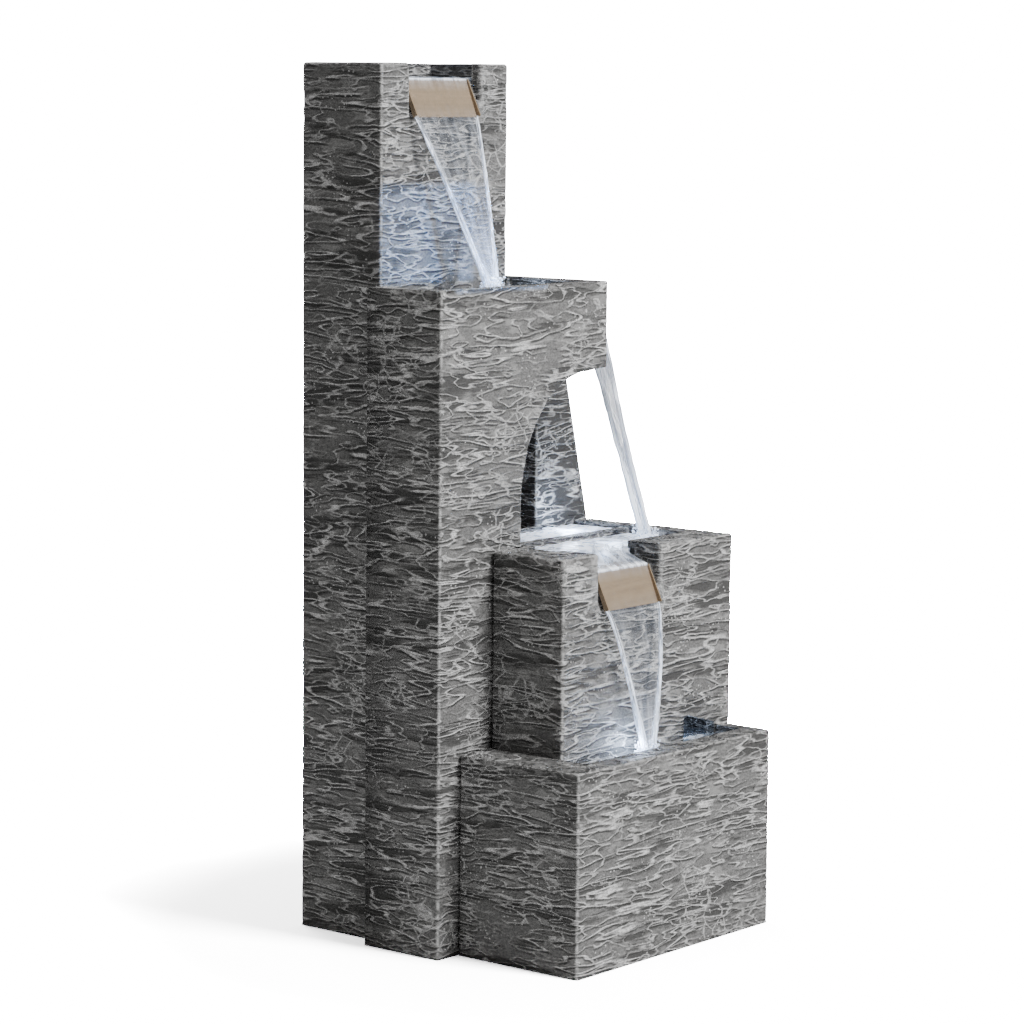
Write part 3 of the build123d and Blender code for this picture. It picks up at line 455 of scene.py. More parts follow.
@dataclass(frozen=True)
class StoneFinish:
    """Dry-brushed grey cast stone: dark in the gaps, mid grey on the ledges, pale on the crests, with painted
    shadow under the pale lines and squiggles.

    Where a plane along y is given, in metres, the stone in front of it is darkened with painted shade,
    standing in for the shadow that the arch casts.
    """

    name: str
    dark: tuple = rgb(0.02, 0.0197, 0.0193)
    shade: tuple = rgb(0.062, 0.061, 0.06)
    body: tuple = rgb(0.165, 0.163, 0.16)
    pale: tuple = rgb(0.56, 0.556, 0.55)
    damp_before: float | None = None
    drying: float = 0.035
    damp_share: float = 0.93

    def build(self) -> bpy.types.Material:
        """Build the material.

        Returns:
            The material.
        """
        finish = Finish(self.name)
        desk = finish.desk
        facing = desk.split(desk.node("ShaderNodeNewGeometry").outputs["Normal"])
        up = desk.ramp(desk.math("ABSOLUTE", facing.outputs[2]), *FACING_UP)
        strata = finish.group(Groups.strata, {"Place": finish.place, "Up": up})
        edge = finish.attribute("edge").outputs["Fac"]
        wear = finish.group(Groups.wear, {"Place": finish.place, "Edge": edge, "Amount": 0.55})
        out = strata.outputs
        tone = desk.plus(desk.times(out["Blot"], 0.6), desk.ramp(out["Grain"], 0.34, 0.66, 0.0, 0.6))
        colour = desk.blend(tone, self.shade, self.body)
        # The streaks darken the sunk gaps, and the shadow output paints shade just under the pale lines and
        # squiggles.
        sunk = desk.most(desk.times(out["Streak"], 0.82), desk.times(out["Shadow"], 0.95))
        colour = desk.blend(sunk, colour, self.dark)
        if self.damp_before is not None:
            # Painted shade: the stone in front of the given plane is darkened, as if it lay in the arch's
            # shadow.
            depth = desk.split(finish.place).outputs[1]
            painted_arch_shade = desk.ramp(depth, self.damp_before, self.damp_before + self.drying, self.damp_share, 0.0)
            colour = desk.blend(painted_arch_shade, colour, self.dark)
        rubbed = desk.times(out["Line"], 0.85)
        for name, share in (("Squiggle", 0.62), ("Net", 0.6), ("Speck", 0.8)):
            rubbed = desk.most(rubbed, desk.times(out[name], share))
        rubbed = desk.times(rubbed, desk.ramp(out["Grain"], 0.32, 0.6, 0.4, 1.0))
        rubbed = desk.most(rubbed, wear.outputs["Worn"])
        colour = desk.blend(rubbed, colour, self.pale)
        rough = desk.ramp(out["Height"], 0.2, 0.9, 0.78, 0.6)
        finish.set(Base_Color=colour, Roughness=rough, Specular_IOR_Level=0.35)
        finish.bump(out["Height"], 4.5 * MM, 1.0)
        return finish.material


# ------------------------------------------------------------------ carving the castings
@dataclass(frozen=True)
class Cuboid:
    """A box in millimetres."""

    x: Span
    y: Span
    z: Span

    def corners(self) -> np.ndarray:
        """Return the low and the high corner."""
        return np.array([self.x, self.y, self.z]).T

    def holds(self, points: np.ndarray, margin: float = 0.0) -> np.ndarray:
        """Say which points lie in the box.

        Args:
            points: Points in millimetres, one a row.
            margin: How far outside still counts.

        Returns:
            True for each point inside.
        """
        low, high = self.corners()
        return np.all((points >= low - margin) & (points <= high + margin), axis=1)

    def distance(self, points: np.ndarray) -> np.ndarray:
        """Return each point's distance from the box, zero inside."""
        low, high = self.corners()
        return np.linalg.norm(np.maximum(np.maximum(low - points, points - high), 0.0), axis=1)


def relief_tree() -> bpy.types.NodeTree:
    """Make the geometry tree that sinks the stone's gaps below the cast surface, where shield lets it.

    Returns:
        The tree, with the inputs Geometry, Depth and Finish.
    """
    tree, desk, entry, leave = shaping_tree("stone_relief", {"Depth": ("NodeSocketFloat", 0.0025)})
    place = desk.node("GeometryNodeInputPosition").outputs[0]
    normal = desk.node("GeometryNodeInputNormal").outputs[0]
    upright = desk.math("ABSOLUTE", desk.split(normal).outputs[2])
    found = STRATA.lay(desk, place, desk.ramp(upright, *FACING_UP), fine=False)
    sink = desk.math("SUBTRACT", 1.0, found["height"], clamp=True)
    shield = desk.feed(desk.node("GeometryNodeInputNamedAttribute", data_type="FLOAT"), {"Name": "shield"})
    sink = desk.times(desk.times(sink, shield.outputs[0]), entry.outputs["Depth"])
    inward = desk.node("ShaderNodeVectorMath", operation="SCALE")
    desk.feed(inward, {0: normal, "Scale": desk.times(sink, -1.0)})
    values = {"Geometry": entry.outputs["Geometry"], "Offset": inward.outputs[0]}
    moved = desk.feed(desk.node("GeometryNodeSetPosition"), values)
    end_shaping(desk, moved, entry, leave)
    return tree


def grown(piece: bpy.types.Object, tree: bpy.types.NodeTree, values: dict) -> bpy.types.Object:
    """Run a geometry tree on a piece and keep the result as its plain mesh.

    Args:
        piece: The object to run it on.
        tree: The geometry tree.
        values: Input name and value for each input to set.

    Returns:
        The same object with its new mesh and no modifier.
    """
    modifier = piece.modifiers.new("shape", "NODES")
    modifier.node_group = tree
    sockets = {item.name: item.identifier for item in tree.interface.items_tree if item.in_out == "INPUT"}
    for name, value in values.items():
        modifier[sockets[name]] = value
    graph = bpy.context.evaluated_depsgraph_get()
    mesh = bpy.data.meshes.new_from_object(piece.evaluated_get(graph), depsgraph=graph)
    piece.modifiers.remove(modifier)
    old = piece.data
    piece.data = mesh
    mesh.name = piece.name
    bpy.data.meshes.remove(old)
    return piece


def new_piece(name: str, data: bpy.types.ID) -> bpy.types.Object:
    """Link a new object for a mesh or a light."""
    piece = bpy.data.objects.new(name, data)
    bpy.context.scene.collection.objects.link(piece)
    return piece


def mesh_from(name: str, shape: bmesh.types.BMesh) -> bpy.types.Mesh:
    """Turn a bmesh into a mesh and free it."""
    mesh = bpy.data.meshes.new(name)
    shape.to_mesh(mesh)
    shape.free()
    return mesh


def float_attribute(mesh: bpy.types.Mesh, name: str, values: Sequence[float]) -> None:
    """Store one number for each point of a mesh."""
    mesh.attributes.new(name, "FLOAT", "POINT").data.foreach_set("value", np.asarray(values, np.float32))


def vector_attribute(mesh: bpy.types.Mesh, name: str, values: Sequence[Point]) -> None:
    """Store one vector for each point of a mesh."""
    flat = np.asarray(values, np.float32).ravel()
    mesh.attributes.new(name, "FLOAT_VECTOR", "POINT").data.foreach_set("vector", flat)


CLEAR_SHARE = 0.22


def cuts_between(low: float, high: float, step: float, known: Iterable[float]) -> list[float]:
    """List evenly spaced cuts that stay clear of known corner planes.

    Args:
        low: First end, in millimetres.
        high: Other end.
        step: Spacing.
        known: Places of planes that the mesh already has, at least one.

    Returns:
        The cuts.
    """
    count = max(1, round((high - low) / step))
    marks = np.array(list(known))
    places = [low + (high - low) * index / count for index in range(1, count)]
    return [place for place in places if np.min(np.abs(marks - place)) > step * CLEAR_SHARE]


def cut_across(shape: bmesh.types.BMesh, faces: list[bmesh.types.BMFace], normal: Vector, cut: float) -> None:
    """Cut faces of a shape along a plane, so far from the origin along its normal."""
    geometry = shape.verts[:] + shape.edges[:] + faces
    bmesh.ops.bisect_plane(shape, geom=geometry, dist=1e-4, plane_co=normal * cut, plane_no=normal)


def read_vectors(mesh: bpy.types.Mesh, kind: str, number: type = float) -> np.ndarray:
    """Return the points' places (co) or normals (normal), one a row."""
    values = np.zeros(len(mesh.vertices) * 3, number)
    mesh.vertices.foreach_get(kind, values)
    return values.reshape(-1, 3)


SKIN_FACE, HIDDEN_FACE = 0, 1


@dataclass
class StoneCasting:
    """One hollow stone-look casting: its worn outside is cut into fine courses and sunk in relief.

    The grid is the length and the height of a course. Sizes are in millimetres.
    """

    node: str
    hidden: list[Cuboid] = field(default_factory=list)
    quiet: list[Cuboid] = field(default_factory=list)
    grid: Span = (4.4, 2.1)
    rounded: float = 3.5
    depth: float = 1.1
    body: str = ROOT

    SHARP_OVER = 50.0
    FOOT_BAND, QUIET_MARGIN = 2.0, 2.0
    FLAT_FOOT, QUIET_FADE = 0.5, 5.0
    EDGE_AT, EDGE_BAND, UNDERSIDE = 0.985, 0.2, -0.2

    def shape(self) -> bmesh.types.BMesh:
        """Copy the casting, clean it and part its skin from its hidden faces.

        Returns:
            The cleaned copy, in millimetres.
        """
        shape = bmesh.new()
        shape.from_mesh(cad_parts[self.node].data)
        bmesh.ops.scale(shape, vec=(1000, 1000, 1000), verts=shape.verts)
        bmesh.ops.remove_doubles(shape, verts=shape.verts, dist=0.005)
        bmesh.ops.dissolve_limit(
            shape,
            angle_limit=math.radians(0.5),
            verts=shape.verts,
            edges=shape.edges,
            use_dissolve_boundaries=False,
        )
        self.mark(shape)
        return shape

    def mark(self, shape: bmesh.types.BMesh) -> None:
        """Mark each face as skin or hidden."""
        shape.faces.ensure_lookup_table()
        centres = np.array([face.calc_center_bounds() for face in shape.faces])
        out_of_sight = np.zeros(len(centres), bool)
        for cuboid in self.hidden:
            out_of_sight |= cuboid.holds(centres)
        for face, unseen in zip(shape.faces, out_of_sight):
            face.material_index = HIDDEN_FACE if unseen else SKIN_FACE

    def soften(self, shape: bmesh.types.BMesh) -> None:
        """Round the sharp outer edges of the skin."""
        chosen = []
        for edge in shape.edges:
            if len(edge.link_faces) != 2 or any(face.material_index for face in edge.link_faces):
                continue
            if edge.calc_length() < 3 * self.rounded or not edge.is_convex:
                continue
            if max(vert.co.z for vert in edge.verts) < self.FOOT_BAND:
                continue
            if math.degrees(edge.calc_face_angle(0.0)) > self.SHARP_OVER:
                middle = np.array([(edge.verts[0].co + edge.verts[1].co) / 2])
                if not any(cuboid.distance(middle)[0] < self.QUIET_MARGIN for cuboid in self.quiet):
                    chosen.append(edge)
        if chosen:
            rounding = {"offset": self.rounded, "segments": 3, "profile": 0.5}
            bmesh.ops.bevel(shape, geom=chosen, affect="EDGES", clamp_overlap=True, **rounding)

    def slice(self, shape: bmesh.types.BMesh) -> None:
        """Cut the skin into fine courses and short lengths."""
        points = np.array([vert.co for vert in shape.verts])
        low, high = points.min(0), points.max(0)
        for axis in (2, 0, 1):
            step = self.grid[1] if axis == 2 else self.grid[0]
            normal = Vector((0, 0, 0))
            normal[axis] = 1.0
            for cut in cuts_between(low[axis], high[axis], step, set(np.round(points[:, axis], 1))):
                skin = [face for face in shape.faces if face.material_index == SKIN_FACE]
                cut_across(shape, skin, normal, cut)

    def shield(self, mesh: bpy.types.Mesh) -> None:
        """Write how deep each point may sink and how far it is on an edge.

        Args:
            mesh: The sliced mesh, in metres.
        """
        points = read_vectors(mesh, "co") * 1000
        normals = read_vectors(mesh, "normal")
        room = np.ones(len(points))
        for cuboid in self.quiet:
            room = np.minimum(room, np.clip(cuboid.distance(points) / self.QUIET_FADE, 0, 1))
        for polygon in mesh.polygons:
            if polygon.material_index == HIDDEN_FACE:
                room[list(polygon.vertices)] = 0.0
        room[points[:, 2] < self.FLAT_FOOT] = 0.0
        edge = np.clip((self.EDGE_AT - np.abs(normals).max(1)) / self.EDGE_BAND, 0, 1)
        edge = edge * (normals[:, 2] > self.UNDERSIDE)
        float_attribute(mesh, "shield", room)
        float_attribute(mesh, "edge", edge)

    def trim(self, mesh: bpy.types.Mesh) -> None:
        """Keep every point of the carved mesh within the casting's own box."""
        low, high = (np.array(corner, np.float32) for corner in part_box(self.node))
        points = np.clip(read_vectors(mesh, "co", np.float32), low, high)
        mesh.vertices.foreach_set("co", points.ravel())
        mesh.update()

    def build(self, finish: bpy.types.Material, relief: bpy.types.NodeTree) -> bpy.types.Object:
        """Build the casting's finished piece.

        Args:
            finish: The stone's material.
            relief: The geometry tree that sinks its gaps.

        Returns:
            The piece.
        """
        shape = self.shape()
        self.soften(shape)
        self.slice(shape)
        for face in shape.faces:
            face.smooth = face.material_index == SKIN_FACE
        bmesh.ops.scale(shape, vec=(MM, MM, MM), verts=shape.verts)
        mesh = mesh_from(f"{self.node}_stone", shape)
        self.shield(mesh)
        piece = new_piece(f"{self.node}_stone", mesh)
        grown(piece, relief, {"Depth": self.depth * MM, "Finish": finish})
        self.trim(piece.data)
        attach(piece, self.body)
        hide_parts(self.node)
        LOG.info("%s: %d faces", piece.name, len(piece.data.polygons))
        return piece


def castings() -> list[StoneCasting]:
    """List the five castings and the service door.

    Returns:
        The castings, with what is out of sight and what stays flat.
    """
    blade_top = Cuboid((-136, -6), (70, 126), (937, 983))
    blade_mid = Cuboid((-56, 66), (-142, -83), (387, 434))
    return [
        StoneCasting(
            "tower_shell",
            [Cuboid((-171.5, 32.5), (89.5, 192.5), (-2, 880.5)), Cuboid((-15, 15), (130, 162), (879, 893))],
            [blade_top, Cuboid((-20, 20), (126, 166), (890, 900)), Cuboid((-74, -46), (190, 204), (30, 60))],
        ),
        StoneCasting(
            "arch_pool_shell",
            [Cuboid((-195.5, -69.5), (-20.5, 70.5), (-2, 672.5))],
            [Cuboid((76, 97), (-12, 28), (712, 734)), Cuboid((-112, -72), (20, 60), (688, 692))],
        ),
        StoneCasting("rear_buttress", [Cuboid((109, 195.5), (89.5, 192.5), (-2, 621))]),
        StoneCasting(
            "mid_basin_shell",
            [Cuboid((-105, 194), (-123, 69), (13, 372)), Cuboid((-12, 12), (66, 81), (250, 274))],
            [
                blade_mid,
                Cuboid((190, 206), (-76, 51), (243, 362)),
                Cuboid((190, 206), (14, 46), (18, 50)),
                Cuboid((12, 48), (-68, -32), (384, 386)),
            ],
        ),
        StoneCasting(
            "lower_basin_shell",
            [Cuboid((-162, -130), (-193, -39), (-2, 220)), Cuboid((-122, 184), (-193, -143), (-2, 49))],
            [Cuboid((2, 38), (-171, -135), (59, 61))],
            grid=(3.7, 1.8),
        ),
        StoneCasting(
            "access_door",
            quiet=[Cuboid((190, 206), (24, 46), (291, 314)), Cuboid((190, 200), (-76, 51), (244, 361))],
            grid=(3.4, 1.9),
            rounded=0.8,
            depth=1.0,
            body="access_door",
        ),
    ]


# ------------------------------------------------------------------ other finishes
@dataclass(frozen=True)
class SteelFinish:
    """Brushed stainless sheet with a warm cast, its brush lines across the plate."""

    name: str = "brushed_stainless"
    bright: tuple = rgb(0.235, 0.173, 0.112)
    dull: tuple = rgb(0.21, 0.155, 0.10)

    def build(self) -> bpy.types.Material:
        """Build the material.

        Returns:
            The material.
        """
        finish = Finish(self.name)
        desk = finish.desk
        brush = desk.noise(desk.stretched(finish.place, (14.0, 900.0, 900.0)), 1.0, 3.0, 0.6)
        spots = desk.ramp(desk.noise(finish.place, 160.0, 2.0).outputs[0], 0.62, 0.7)
        wear = finish.group(Groups.wear, {"Place": finish.place, "Edge": 0.3, "Amount": 0.2})
        colour = desk.blend(desk.ramp(brush.outputs[0], 0.3, 0.7), self.dull, self.bright)
        colour = desk.blend(desk.times(spots, 0.35), colour, rgb(0.16, 0.13, 0.1))
        rough = desk.plus(desk.ramp(brush.outputs[0], 0.2, 0.8, 0.34, 0.5), wear.outputs["Worn"])
        finish.set(Base_Color=colour, Metallic=0.4, Roughness=rough)
        finish.bump(brush.outputs[0], 0.03 * MM, 0.6)
        return finish.material


@dataclass(frozen=True)
class MouldedFinish:
    """Moulded plastic, rubber, ceramic or ferrite with a fine skin and scuffs."""

    name: str
    colour: tuple
    rough: float
    skin: float = 0.04
    scuffed: float = 0.4
    metallic: float = 0.0
    glow: float = 0.0

    def build(self) -> bpy.types.Material:
        """Build the material.

        Returns:
            The material.
        """
        finish = Finish(self.name)
        desk = finish.desk
        pores = desk.noise(finish.place, 1400.0, 2.0)
        cloud = desk.noise(finish.place, 60.0, 3.0)
        wear = finish.group(Groups.wear, {"Place": finish.place, "Edge": 0.6, "Amount": self.scuffed})
        paler = rgb(*[min(1.0, part * 1.5 + 0.02) for part in self.colour[:3]])
        colour = desk.blend(desk.times(desk.ramp(cloud.outputs[0], 0.35, 0.7), 0.35), self.colour, paler)
        colour = desk.blend(desk.times(wear.outputs["Worn"], 0.5), colour, paler)
        rough = desk.ramp(cloud.outputs[0], 0.3, 0.7, self.rough - 0.08, self.rough + 0.08)
        finish.set(Base_Color=colour, Metallic=self.metallic, Roughness=rough)
        if self.glow:
            finish.set(Emission_Color=rgb(0.72, 0.84, 1.0), Emission_Strength=self.glow)
        finish.bump(pores.outputs[0], self.skin * MM, 0.5)
        return finish.material


@dataclass(frozen=True)
class LensFinish:
    """Clear lamp lens over cool white emitters."""

    name: str = "clear_lens"

    def build(self) -> bpy.types.Material:
        """Build the material.

        Returns:
            The material.
        """
        finish = Finish(self.name)
        swirl = finish.desk.noise(finish.place, 500.0, 2.0)
        finish.set(Base_Color=rgb(0.86, 0.93, 1.0), Transmission_Weight=0.85, IOR=1.5)
        finish.set(Roughness=finish.desk.ramp(swirl.outputs[0], 0.3, 0.7, 0.04, 0.14))
        finish.set(Emission_Color=rgb(0.7, 0.84, 1.0), Emission_Strength=1.6)
        finish.bump(swirl.outputs[0], 0.05 * MM, 0.4)
        return finish.material


@dataclass(frozen=True)
class WaterFinish:
    """Moving water with a painted glow, as if lit by the lamps in it. The mesh attribute foam says where it
    is white, from foam and from a painted highlight along the plates' crests, and flow where its threads run.
    """

    name: str
    clear: float
    threads: Point
    glow: float
    glint: float = 0.35
    deep: tuple = rgb(0.30, 0.36, 0.47)
    white: tuple = rgb(0.86, 0.90, 0.97)

    def build(self) -> bpy.types.Material:
        """Build the material.

        Returns:
            The material.
        """
        finish = Finish(self.name)
        desk = finish.desk
        foam = finish.attribute("foam").outputs["Fac"]
        flow = finish.attribute("flow").outputs["Vector"]
        thread = desk.noise(desk.stretched(flow, self.threads), 1.0, 3.0, 0.6).outputs[0]
        sharp = desk.ramp(thread, 0.4, 0.6)
        body = desk.times(foam, desk.ramp(thread, 0.34, 0.6, 0.45, 1.0), clamp=True)
        pale = desk.plus(desk.times(sharp, 0.55), body, clamp=True)
        colour = desk.blend(pale, self.deep, self.white)
        # Painted glint: the brightest threads are made more opaque, so their pale colour stands out like a
        # highlight.
        glint = desk.times(desk.ramp(thread, 0.56, 0.66), self.glint)
        alpha = desk.plus(desk.times(body, 1.0 - self.clear), self.clear)
        alpha = desk.plus(alpha, glint, clamp=True)
        # Painted glow: the water emits a cool light along its pale threads, though it is no lamp.
        painted_glow = desk.blend(desk.times(body, sharp), rgb(0.05, 0.07, 0.11), rgb(0.66, 0.78, 1.0))
        rough = desk.ramp(foam, 0.0, 1.0, 0.06, 0.3)
        finish.set(Base_Color=colour, Alpha=alpha, Roughness=rough, IOR=1.33)
        finish.set(Emission_Color=painted_glow, Emission_Strength=self.glow)
        finish.bump(thread, 0.8 * MM, 0.5)
        return finish.material


# ------------------------------------------------------------------ water
def wet(piece: bpy.types.Object, finish: bpy.types.Material) -> bpy.types.Object:
    """Give a water piece its finish, body and slot."""
    piece.data.materials.clear()
    piece.data.materials.append(finish)
    for polygon in piece.data.polygons:
        polygon.use_smooth = True
    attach(piece, ROOT)
    LOG.info("%s: %d faces", piece.name, len(piece.data.polygons))
    return piece


def wet_shape(
    name: str, shape: bmesh.types.BMesh, foams: list[float], flows: list[Point], finish: bpy.types.Material
) -> bpy.types.Object:
    """Turn a closed shape in millimetres into a finished water piece.

    Args:
        name: The piece's name.
        shape: The shape, which is freed.
        foams: Foam at each point.
        flows: Where each point lies along the flow.
        finish: The water's material.

    Returns:
        The piece.
    """
    bmesh.ops.recalc_face_normals(shape, faces=shape.faces)
    bmesh.ops.scale(shape, vec=(MM, MM, MM), verts=shape.verts)
    mesh = mesh_from(name, shape)
    float_attribute(mesh, "foam", foams)
    vector_attribute(mesh, "flow", flows)
    return wet(new_piece(name, mesh), finish)


def wet_grown(piece: bpy.types.Object, foam: float, finish: bpy.types.Material) -> bpy.types.Object:
    """Finish a water piece that a tree made, with one foam value and its own places as its flow."""
    points = [tuple(vert.co) for vert in piece.data.vertices]
    float_attribute(piece.data, "foam", [foam] * len(points))
    vector_attribute(piece.data, "flow", points)
    return wet(piece, finish)


def loft(rings: list[list[Point]]) -> bmesh.types.BMesh:
    """Join rings of points into one closed skin with capped ends."""
    shape = bmesh.new()
    rows = [[shape.verts.new(point) for point in ring] for ring in rings]
    for upper, lower in zip(rows, rows[1:]):
        for index in range(len(upper)):
            following = (index + 1) % len(upper)
            shape.faces.new((upper[index], upper[following], lower[following], lower[index]))
    shape.faces.new(rows[0][::-1])
    shape.faces.new(rows[-1])
    return shape


def ripple(x: float, y: float, scale: float, layer: float) -> float:
    """Return smooth noise from -1 to 1 at a place in millimetres."""
    return noise.noise(Vector((x * scale, y * scale, layer)))


@dataclass(frozen=True)
class Landing:
    """Where a stream meets a pool: its centre, reach and how high the foam heaps, in millimetres."""

    x: float
    y: float
    reach: float
    heap: float


@dataclass
class PoolWater:
    """The still and rippled water of one pool, a closed slab with foam round the landings."""

    name: str
    outline: list[Span]
    level: float
    landings: list[Landing] = field(default_factory=list)
    foam_everywhere: float = 0.12
    swirl: float = 0.35
    step: float = 4.0
    thick: float = 5.0

    BROAD, FINE, LUMPS = 0.045, 0.13, 0.16
    BROAD_RISE, FINE_RISE, RING_RISE = 0.9, 0.45, 1.1
    RING_TURN, RING_REACH, FOAM_REACH = 0.42, 2.2, 1.6

    def height(self, x: float, y: float) -> tuple[float, float]:
        """Find the surface's height and foam at a point.

        Args:
            x: Place across, in millimetres.
            y: Place along.

        Returns:
            Height above the level in millimetres, and foam from 0 to 1.
        """
        wave = ripple(x, y, self.BROAD, self.level) * self.BROAD_RISE
        wave += ripple(x, y, self.FINE, self.level) * self.FINE_RISE
        patch = noise.noise(Vector((x * 0.03, y * 0.05, 7.0 + self.level))) * 0.5 + 0.5
        foam = self.foam_everywhere + self.swirl * max(0.0, patch - 0.45) * 2.0
        for landing in self.landings:
            away = math.hypot(x - landing.x, y - landing.y)
            near = math.exp(-((away / landing.reach) ** 2))
            lumps = 0.6 + 0.8 * ripple(x, y, self.LUMPS, 3.0)
            wave += near * landing.heap * max(0.15, lumps)
            fading = math.exp(-away / (landing.reach * self.RING_REACH))
            wave += self.RING_RISE * math.sin(away * self.RING_TURN) * fading
            foam += 1.1 * near + 0.35 * math.exp(-away / (landing.reach * self.FOAM_REACH))
        return wave, min(1.0, foam)

    def build(self, finish: bpy.types.Material) -> bpy.types.Object:
        """Build the pool's water.

        Args:
            finish: The water's material.

        Returns:
            The piece.
        """
        shape = bmesh.new()
        shape.faces.new([shape.verts.new((x, y, self.level)) for x, y in self.outline])
        points = np.array(self.outline)
        for axis in (0, 1):
            normal = Vector((axis == 0, axis == 1, 0))
            along = points[:, axis]
            for cut in cuts_between(along.min(), along.max(), self.step, set(along)):
                cut_across(shape, shape.faces[:], normal, cut)
        made = bmesh.ops.extrude_face_region(shape, geom=shape.faces[:], use_keep_orig=True)
        bottom = {item for item in made["geom"] if isinstance(item, bmesh.types.BMVert)}
        foams = []
        for vert in shape.verts:
            wave, foam = self.height(vert.co.x, vert.co.y)
            vert.co.z += wave - (self.thick if vert in bottom else 0.0)
            foams.append(0.0 if vert in bottom else foam)
        flows = [tuple(vert.co * MM) for vert in shape.verts]
        return wet_shape(self.name, shape, foams, flows, finish)


@dataclass(frozen=True)
class Fall:
    """The path of one edge of a stream, from the lip to the pool, in millimetres."""

    start: Point
    end: Point
    bend: Span = (1.0, 0.9)

    def at(self, share: float) -> Vector:
        """Return the point a share of the way down."""
        x = self.start[0] + (self.end[0] - self.start[0]) * share ** self.bend[0]
        y = self.start[1] + (self.end[1] - self.start[1]) * share ** self.bend[1]
        return Vector((x, y, self.start[2] + (self.end[2] - self.start[2]) * share))


@dataclass
class Stream:
    """A falling stream: a thin film between two thick ropes that draw together as they fall."""

    name: str
    left: Fall
    right: Fall
    ropes: tuple[Span, Span]
    film: float = 0.35
    rows: int = 110
    across: int = 44
    film_foam: float = 0.03
    seed: float = 0.0
    merge: float = 0.0

    RIDGED, ROUGHENED, SWAY, FLUTTER = 0.45, 0.2, 1.6, 0.7
    THINNEST, END_COLUMNS, FLOW_WIDTH = 0.02, 2.5, 60

    def rope(self, share: float, side: int) -> float:
        """Return the radius of one rope at a share of the fall."""
        start, end = self.ropes[side]
        return start + (end - start) * share

    def middle(self, share: float) -> Vector:
        """Return the point halfway between the edges, at a share that is kept within the fall."""
        share = min(1.0, max(0.0, share))
        return (self.left.at(share) + self.right.at(share)) / 2

    def swells(self, share: float, near_left: float, near_right: float) -> list[float]:
        """Return how much each rope swells at a place, from 0 to 1, by its distance from either edge."""
        found = []
        for side, near in enumerate((near_left, near_right)):
            radius = self.rope(share, side)
            found.append(math.sqrt(max(0.0, 1 - ((near - radius) / radius) ** 2)))
        return found

    def section(self, share: float) -> tuple[list[Vector], list[Vector], list[float]]:
        """Work out one row of the stream.

        Args:
            share: How far down, from 0 to 1.

        Returns:
            Front points, back points, and the foam at each.
        """
        left, over = self.left.at(share), self.right.at(share) - self.left.at(share)
        flow = (self.middle(share + 0.01) - self.middle(share - 0.01)).normalized()
        aside = over.normalized()
        out = aside.cross(flow).normalized()
        drop = share * (self.left.start[2] - self.left.end[2])
        front, back, foams = [], [], []
        for column in range(self.across + 1):
            u = column / self.across
            at = 0.5 - 0.5 * math.cos(math.pi * u)
            swells = self.swells(share, at * over.length, (1 - at) * over.length)
            thick = max(self.film, *(swell * self.rope(share, side) for side, swell in enumerate(swells)))
            ridge = noise.noise(Vector((at * over.length * 0.35 + self.seed, drop * 0.018, self.seed)))
            fine = noise.noise(Vector((at * over.length * 0.9 + self.seed, drop * 0.05, 4.0)))
            thick *= 1.0 + self.RIDGED * ridge + self.ROUGHENED * fine
            thick = max(self.THINNEST, thick * min(1.0, min(u, 1 - u) * self.across / self.END_COLUMNS))
            sway = self.SWAY * share * noise.noise(Vector((drop * 0.02, self.seed, at * 2.0)))
            flutter = noise.noise(Vector((drop * 0.06, self.seed + 5, at * 4.0)))
            sway += self.FLUTTER * flutter * min(1.0, share * 4)
            centre = left + over * at + out * sway + aside * sway * 0.8
            front.append(centre + out * thick)
            back.append(centre - out * thick)
            merged = self.merge * max(0.0, share - 0.55) * 2.2
            film = self.film_foam + merged + 0.25 * max(0.0, ridge - 0.2)
            foams.append(min(1.0, film + 0.4 * max(swells)))
        return front, back, foams

    def build(self, finish: bpy.types.Material) -> bpy.types.Object:
        """Build the stream.

        Args:
            finish: The water's material.

        Returns:
            The piece.
        """
        rings, foams, flows = [], [], []
        for row in range(self.rows + 1):
            share = row / self.rows
            front, back, foam = self.section(share)
            drop = share * (self.left.start[2] - self.left.end[2])
            rings.append(front + back[::-1])
            for index, value in enumerate(foam + foam[::-1]):
                foams.append(value)
                column = index if index <= self.across else 2 * self.across + 1 - index
                flows.append((column / self.across * self.FLOW_WIDTH * MM, drop * MM, self.seed))
        return wet_shape(self.name, loft(rings), foams, flows, finish)


def strand_tree() -> bpy.types.NodeTree:
    """Make the geometry tree that turns a bundle of paths into strands of water.

    Returns:
        The tree, with the inputs Geometry, Thick, Sides and Finish.
    """
    sockets = {"Thick": ("NodeSocketFloat", 0.0008), "Sides": ("NodeSocketInt", 7)}
    tree, desk, entry, leave = shaping_tree("water_strands", sockets)
    paths = desk.feed(desk.node("GeometryNodeMeshToCurve"), {0: entry.outputs["Geometry"]})
    along = desk.node("GeometryNodeSplineParameter")
    swell = desk.noise(desk.node("GeometryNodeInputPosition").outputs[0], 45.0, 2.0).outputs[0]
    thick = desk.times(desk.ramp(swell, 0.3, 0.7, 0.45, 1.5), entry.outputs["Thick"])
    thick = desk.times(thick, desk.ramp(along.outputs["Factor"], 0.0, 0.12, 0.45, 1.0))
    circle = desk.node("GeometryNodeCurvePrimitiveCircle")
    desk.feed(circle, {"Resolution": entry.outputs["Sides"], "Radius": 1.0})
    tube = desk.node("GeometryNodeCurveToMesh")
    values = {"Curve": paths.outputs[0], "Profile Curve": circle.outputs[0], "Scale": thick}
    desk.feed(tube, {**values, "Fill Caps": True})
    end_shaping(desk, tube, entry, leave)
    return tree


